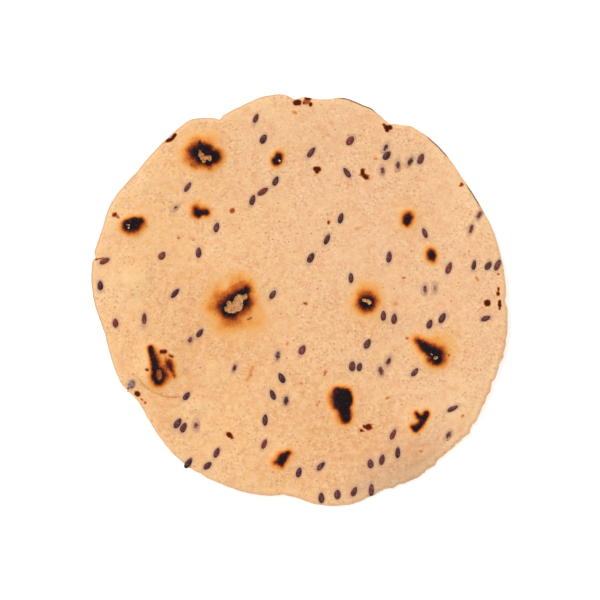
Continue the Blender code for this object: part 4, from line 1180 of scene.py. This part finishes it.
def flaxFinish():
    finish, tree, shader = newFinish("flaxCoat")
    place = tree.nodes.new("ShaderNodeTexCoord").outputs["Object"]
    look = flaxLook
    colour = mixNode(tree, fieldNode(tree, "tone"), linear(*look["dark"]), linear(*look["light"]))
    colour = tint(tree, colour, fieldNode(tree, "ruddy"), look["ruddy"])

    # painted highlights: lighter streaks on top where the glossy coat catches the light, and a dark line
    # round it
    edge = fieldNode(tree, "edge")
    paintedHighlight = noiseShare(tree, place, look["paintedHighlight"])
    paintedHighlight = mathNode(tree, "MULTIPLY", paintedHighlight, rangeNode(tree, edge, *look["highlightPlaces"]))
    colour = tint(tree, colour, paintedHighlight, look["paintedHighlight"])
    colour = tint(tree, colour, rangeNode(tree, edge, *look["outlineSpan"]), look["outline"])

    flecked = noiseShare(tree, place, look["flour"])
    grey = mathNode(tree, "MULTIPLY", fieldNode(tree, "grey"), flecked)
    colour = tint(tree, colour, grey, look["flour"])

    # a film of dough over the edges, and over most of some seeds
    film = mathNode(tree, "ADD", edge, swingNode(tree, place, *look["filmFray"]))
    film = mathNode(tree, "ADD", film, fieldNode(tree, "veil"))
    colour = tint(tree, colour, rangeNode(tree, film, *look["thinFilmSpan"]), look["thinFilm"])
    film = rangeNode(tree, film, *look["filmSpan"])
    colour = tint(tree, colour, film, look["film"])
    tree.links.new(colour, shader.inputs["Base Color"])
    tree.links.new(rangeNode(tree, film, *look["roughness"]), shader.inputs["Roughness"])
    shader.inputs["Specular IOR Level"].default_value = look["specular"]
    addBumps(tree, shader, place, look["bumps"])
    return finish


def oneFlaxSeed():
    # a round ball laid along X, drawn out at one end and narrowed towards it
    bpy.ops.object.select_all(action="DESELECT")
    bpy.ops.mesh.primitive_uv_sphere_add(
        segments=flaxSeed["sides"], ring_count=flaxSeed["rings"], radius=1.0, rotation=(0, math.pi / 2, 0)
    )
    bpy.ops.object.transform_apply(location=False, rotation=True, scale=False)
    seed = bpy.context.object
    for vertex in seed.data.vertices:
        along = vertex.co.x
        vertex.co.y *= 1 - flaxSeed["taper"] * along
        vertex.co.x += flaxSeed["point"] * max(along, 0) ** flaxSeed["pointPower"]
    return seed


def placedCopy(model, name, place, turned, scaled):
    # a copy with its place in its own mesh
    copy = bpy.data.objects.new(name, model.data.copy())
    bpy.context.scene.collection.objects.link(copy)
    copy.data.transform(Matrix.Translation(place) @ turned @ scaled)
    copy.data.transform(Matrix.Scale(mm, 4))
    return copy


def isNear(x, y, spot):
    return math.hypot(x - spot[0], y - spot[1]) < flaxSeed["veilReach"]


def makeFlaxSeeds(seeds):
    model = oneFlaxSeed()
    middle = planMiddle()
    draw = drawFor("coats")
    upperCount = len(seeds["upper"])
    sink = flaxSeed["size"][2] / 2 - flaxSeed["proud"]
    copies = []
    for number, (x, y, lean) in enumerate(seeds["upper"] + seeds["lower"]):
        size, tilt = seeds["sizes"][number]
        placeX, placeY = np.array([x]), np.array([y])
        share = shareOf(placeX, placeY)
        if number < upperCount:
            height = upperHeight(placeX, placeY, share)[0] - pitDepth(placeX, placeY)[0] - sink
        elif number < upperCount + len(flaxSeed["restSeeds"]):
            height, tilt = size[2] / 2, 0
        else:
            height = max(lowerHeight(placeX, placeY, share)[0] + sink, flaxSeed["clear"])
        place = (x - middle[0], y - middle[1], height)
        turned = Euler((0, math.radians(tilt), math.radians(lean))).to_matrix().to_4x4()
        scaled = Matrix.Diagonal((size[0] / 2, size[1] / 2, size[2] / 2, 1))
        copy = placedCopy(model, f"seed{number}", place, turned, scaled)
        veils = [veil[2] for veil in flaxSeed["veiled"] if isNear(x, y, veil)]
        fields = {
            "tone": draw.uniform(0, 1),
            "ruddy": flaxSeed["ruddyShare"] * any(isNear(x, y, spot) for spot in flaxSeed["ruddy"]),
            "grey": float(any(isNear(x, y, spot) for spot in flaxSeed["greyed"])),
            "veil": max(veils, default=0),
        }
        for name, value in fields.items():
            keepField(copy.data, name, np.full(len(copy.data.vertices), value))
        keepField(copy.data, "edge", np.array([math.hypot(*vertex.co.xy) for vertex in model.data.vertices]))
        copies.append(copy)
    bpy.data.objects.remove(model)
    return joined(copies, "flaxSeeds", flaxFinish())


def joined(copies, name, finish):
    bpy.ops.object.select_all(action="DESELECT")
    for copy in copies:
        copy.select_set(True)
    bpy.context.view_layer.objects.active = copies[0]
    bpy.ops.object.join()
    piece = bpy.context.object
    piece.name = name
    piece.data.name = name
    piece.data.materials.clear()
    piece.data.materials.append(finish)
    bpy.ops.object.shade_smooth()
    return piece


# Fine grains of bran and burnt flour, set in both faces
branSpeck = {
    "upperCount": 700,
    "lowerCount": 220,
    "reach": 0.95,
    "length": (0.36, 1.0),
    "lengthPower": 2,  # the higher, the more small ones
    "tonePower": 1.1,
    "width": (0.45, 0.9),
    "flatness": 0.55,
    "proud": 0.05,
    # the largest, which stand out one by one: x, y, length, tone from dark to light
    "marked": (
        (-20.5, 30.0, 0.8, 0.1), (8.3, 37.5, 0.6, 0.1), (-1.8, 23.9, 0.6, 0.1), (26.4, 61.9, 0.8, 0.2),
        (-42.4, -9.2, 0.9, 0.0), (-2.9, -46.8, 0.7, 0.1), (0.0, -52.3, 0.8, 0.0), (25.8, -54.4, 0.9, 0.2),
        (39.5, -61.9, 0.8, 0.1), (52.0, -54.4, 0.7, 0.1), (55.3, 19.0, 0.9, 0.0), (11.8, -3.1, 0.7, 0.2),
        (-37.0, 44.7, 0.6, 0.1), (-14.4, 48.3, 0.6, 0.1), (-37.3, 39.3, 0.6, 0.2), (-2.3, -30.2, 0.8, 0.3),
        (-21.4, -7.0, 0.9, 0.3), (-42.4, -14.5, 0.5, 0.0), (-14.0, -6.4, 0.8, 0.3), (64.4, -2.9, 0.6, 0.0),
        (-4.8, 70.4, 0.7, 0.1), (68.7, 10.4, 0.8, 0.1), (56.2, 24.9, 0.7, 0.1), (53.2, -4.3, 0.8, 0.0),
        (61.6, -14.5, 0.6, 0.1), (8.0, -20.8, 0.9, 0.3), (53.0, -50.1, 0.7, 0.2), (35.7, -30.8, 0.5, 0.1),
        (-61.0, 34.2, 0.5, 0.2), (-61.9, 22.7, 0.5, 0.3), (-58.7, 12.1, 0.7, 0.5), (-40.1, -11.0, 0.6, 0.1),
    ),
}


branLook = {
    "ramp": ((0.0, (46, 22, 12)), (0.25, (104, 54, 26)), (0.6, (168, 102, 60)), (1.0, (206, 140, 92))),
    "roughness": 0.7,
    "specular": 0.1,
}


def branFinish():
    finish, tree, shader = newFinish("bran")
    colour = rampNode(tree, fieldNode(tree, "tone"), branLook["ramp"])
    tree.links.new(colour, shader.inputs["Base Color"])
    shader.inputs["Roughness"].default_value = branLook["roughness"]
    shader.inputs["Specular IOR Level"].default_value = branLook["specular"]
    return finish


def makeBranSpecks():
    bpy.ops.object.select_all(action="DESELECT")
    bpy.ops.mesh.primitive_ico_sphere_add(subdivisions=1, radius=0.5)  # 1 across, so a scale is a size
    model = bpy.context.object
    draw = drawFor("specks")
    middle = planMiddle()
    specks = [(x, y, length, 1, tone) for x, y, length, tone in branSpeck["marked"]]
    for side, count in ((1, branSpeck["upperCount"]), (-1, branSpeck["lowerCount"])):
        for _ in range(count):
            x, y = strewn(draw, branSpeck["reach"])
            small, large = branSpeck["length"]
            length = small + (large - small) * draw.uniform() ** branSpeck["lengthPower"]
            specks.append((x, y, length, side, draw.uniform() ** branSpeck["tonePower"]))
    x, y = (np.array([speck[n] for speck in specks]) for n in (0, 1))
    share = shareOf(x, y)
    tops = upperHeight(x, y, share) - pitDepth(x, y) * bake["pitShare"]
    bottoms = lowerHeight(x, y, share)
    copies = []
    for number, (placeX, placeY, length, side, tone) in enumerate(specks):
        thick = length * branSpeck["flatness"]
        sunk = thick / 2 - branSpeck["proud"]
        height = tops[number] - sunk if side > 0 else max(bottoms[number] + sunk, thick / 2)
        scaled = Matrix.Diagonal((length, length * draw.uniform(*branSpeck["width"]), thick, 1))
        turned = Matrix.Rotation(draw.uniform(0, math.pi), 4, "Z")
        place = (placeX - middle[0], placeY - middle[1], height)
        copy = placedCopy(model, f"speck{number}", place, turned, scaled)
        keepField(copy.data, "tone", np.full(len(copy.data.vertices), tone))
        copies.append(copy)
    bpy.data.objects.remove(model)
    return joined(copies, "branSpecks", branFinish())


# The photograph looks straight down, from far off, in even light on white.
studio = {
    "frameWidth": 215.4,  # millimetres that the picture is wide, where the tostada lies
    "lens": 100.0,
    "sensor": 36.0,
    "eyeShift": (-0.05, 0.3),
    "planeHeight": 3.2,
    "clips": (0.01, 10.0),  # metres that the camera sees from and to
    "floorSize": 3.0,
    "floorHeight": -0.00002,
    "floorWhite": 0.95,
    "floorRoughness": 0.9,
    "floorGlow": 0.36,
    "skyStrength": 0.71,
    "sunStrength": 1.25,
    "sunAngle": 24.0,
    "sunTilt": (44.0, 135.0),  # from straight up, and the side that it comes from
}


def makeStudio():
    middle = planMiddle()
    eye = bpy.data.cameras.new("overheadEye")
    eye.lens = studio["lens"]
    eye.sensor_width = studio["sensor"]
    away = studio["frameWidth"] / studio["sensor"] * studio["lens"]
    camera = bpy.data.objects.new("overheadEye", eye)
    bpy.context.scene.collection.objects.link(camera)
    shiftX, shiftY = studio["eyeShift"]
    camera.location = Vector((shiftX - middle[0], shiftY - middle[1], away + studio["planeHeight"])) * mm
    eye.clip_start, eye.clip_end = studio["clips"]
    bpy.context.scene.camera = camera

    bpy.ops.object.select_all(action="DESELECT")
    bpy.ops.mesh.primitive_plane_add(size=studio["floorSize"], location=(0, 0, studio["floorHeight"]))
    floor = bpy.context.object
    floor.name = "floor"
    finish, _, shader = newFinish("whiteTable")
    shader.inputs["Base Color"].default_value = (*[studio["floorWhite"]] * 3, 1)
    shader.inputs["Roughness"].default_value = studio["floorRoughness"]
    shader.inputs["Specular IOR Level"].default_value = 0.0
    shader.inputs["Emission Color"].default_value = (1, 1, 1, 1)
    shader.inputs["Emission Strength"].default_value = studio["floorGlow"]
    floor.data.materials.append(finish)

    sky = bpy.data.worlds.new("softSky")
    sky.use_nodes = True
    sky.node_tree.nodes["Background"].inputs["Color"].default_value = (1, 1, 1, 1)
    sky.node_tree.nodes["Background"].inputs["Strength"].default_value = studio["skyStrength"]
    bpy.context.scene.world = sky

    lamp = bpy.data.lights.new("softSun", "SUN")
    lamp.energy = studio["sunStrength"]
    lamp.angle = math.radians(studio["sunAngle"])
    sun = bpy.data.objects.new("softSun", lamp)
    bpy.context.scene.collection.objects.link(sun)
    tilt, heading = (math.radians(value) for value in studio["sunTilt"])
    towards = Vector((math.sin(tilt) * math.cos(heading), math.sin(tilt) * math.sin(heading), math.cos(tilt)))
    sun.rotation_euler = towards.to_track_quat("Z", "Y").to_euler()

    bpy.context.scene.view_settings.view_transform = "Standard"
    bpy.context.scene.view_settings.look = "None"


def addPiece(piece):
    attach(piece, "root")
    triangles = sum(len(face.vertices) - 2 for face in piece.data.polygons)
    print(piece.name, "has", triangles, "triangles")


noise.seed_set(dough["noiseStart"])  # without this, noise_vector starts from the time of day

makeStudio()
print("studio ready")

upperSeeds, lowerSeeds = seedPlaces()
seedLayout = {"upper": upperSeeds, "lower": lowerSeeds, "sizes": seedSizes(len(upperSeeds) + len(lowerSeeds))}
print("seeds laid out:", len(upperSeeds), "above and", len(lowerSeeds), "below")

doughRound = makeDough(seedLayout)
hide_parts("tostada")
addPiece(doughRound)

flaxSeeds = makeFlaxSeeds(seedLayout)
addPiece(flaxSeeds)

branSpecks = makeBranSpecks()
addPiece(branSpecks)
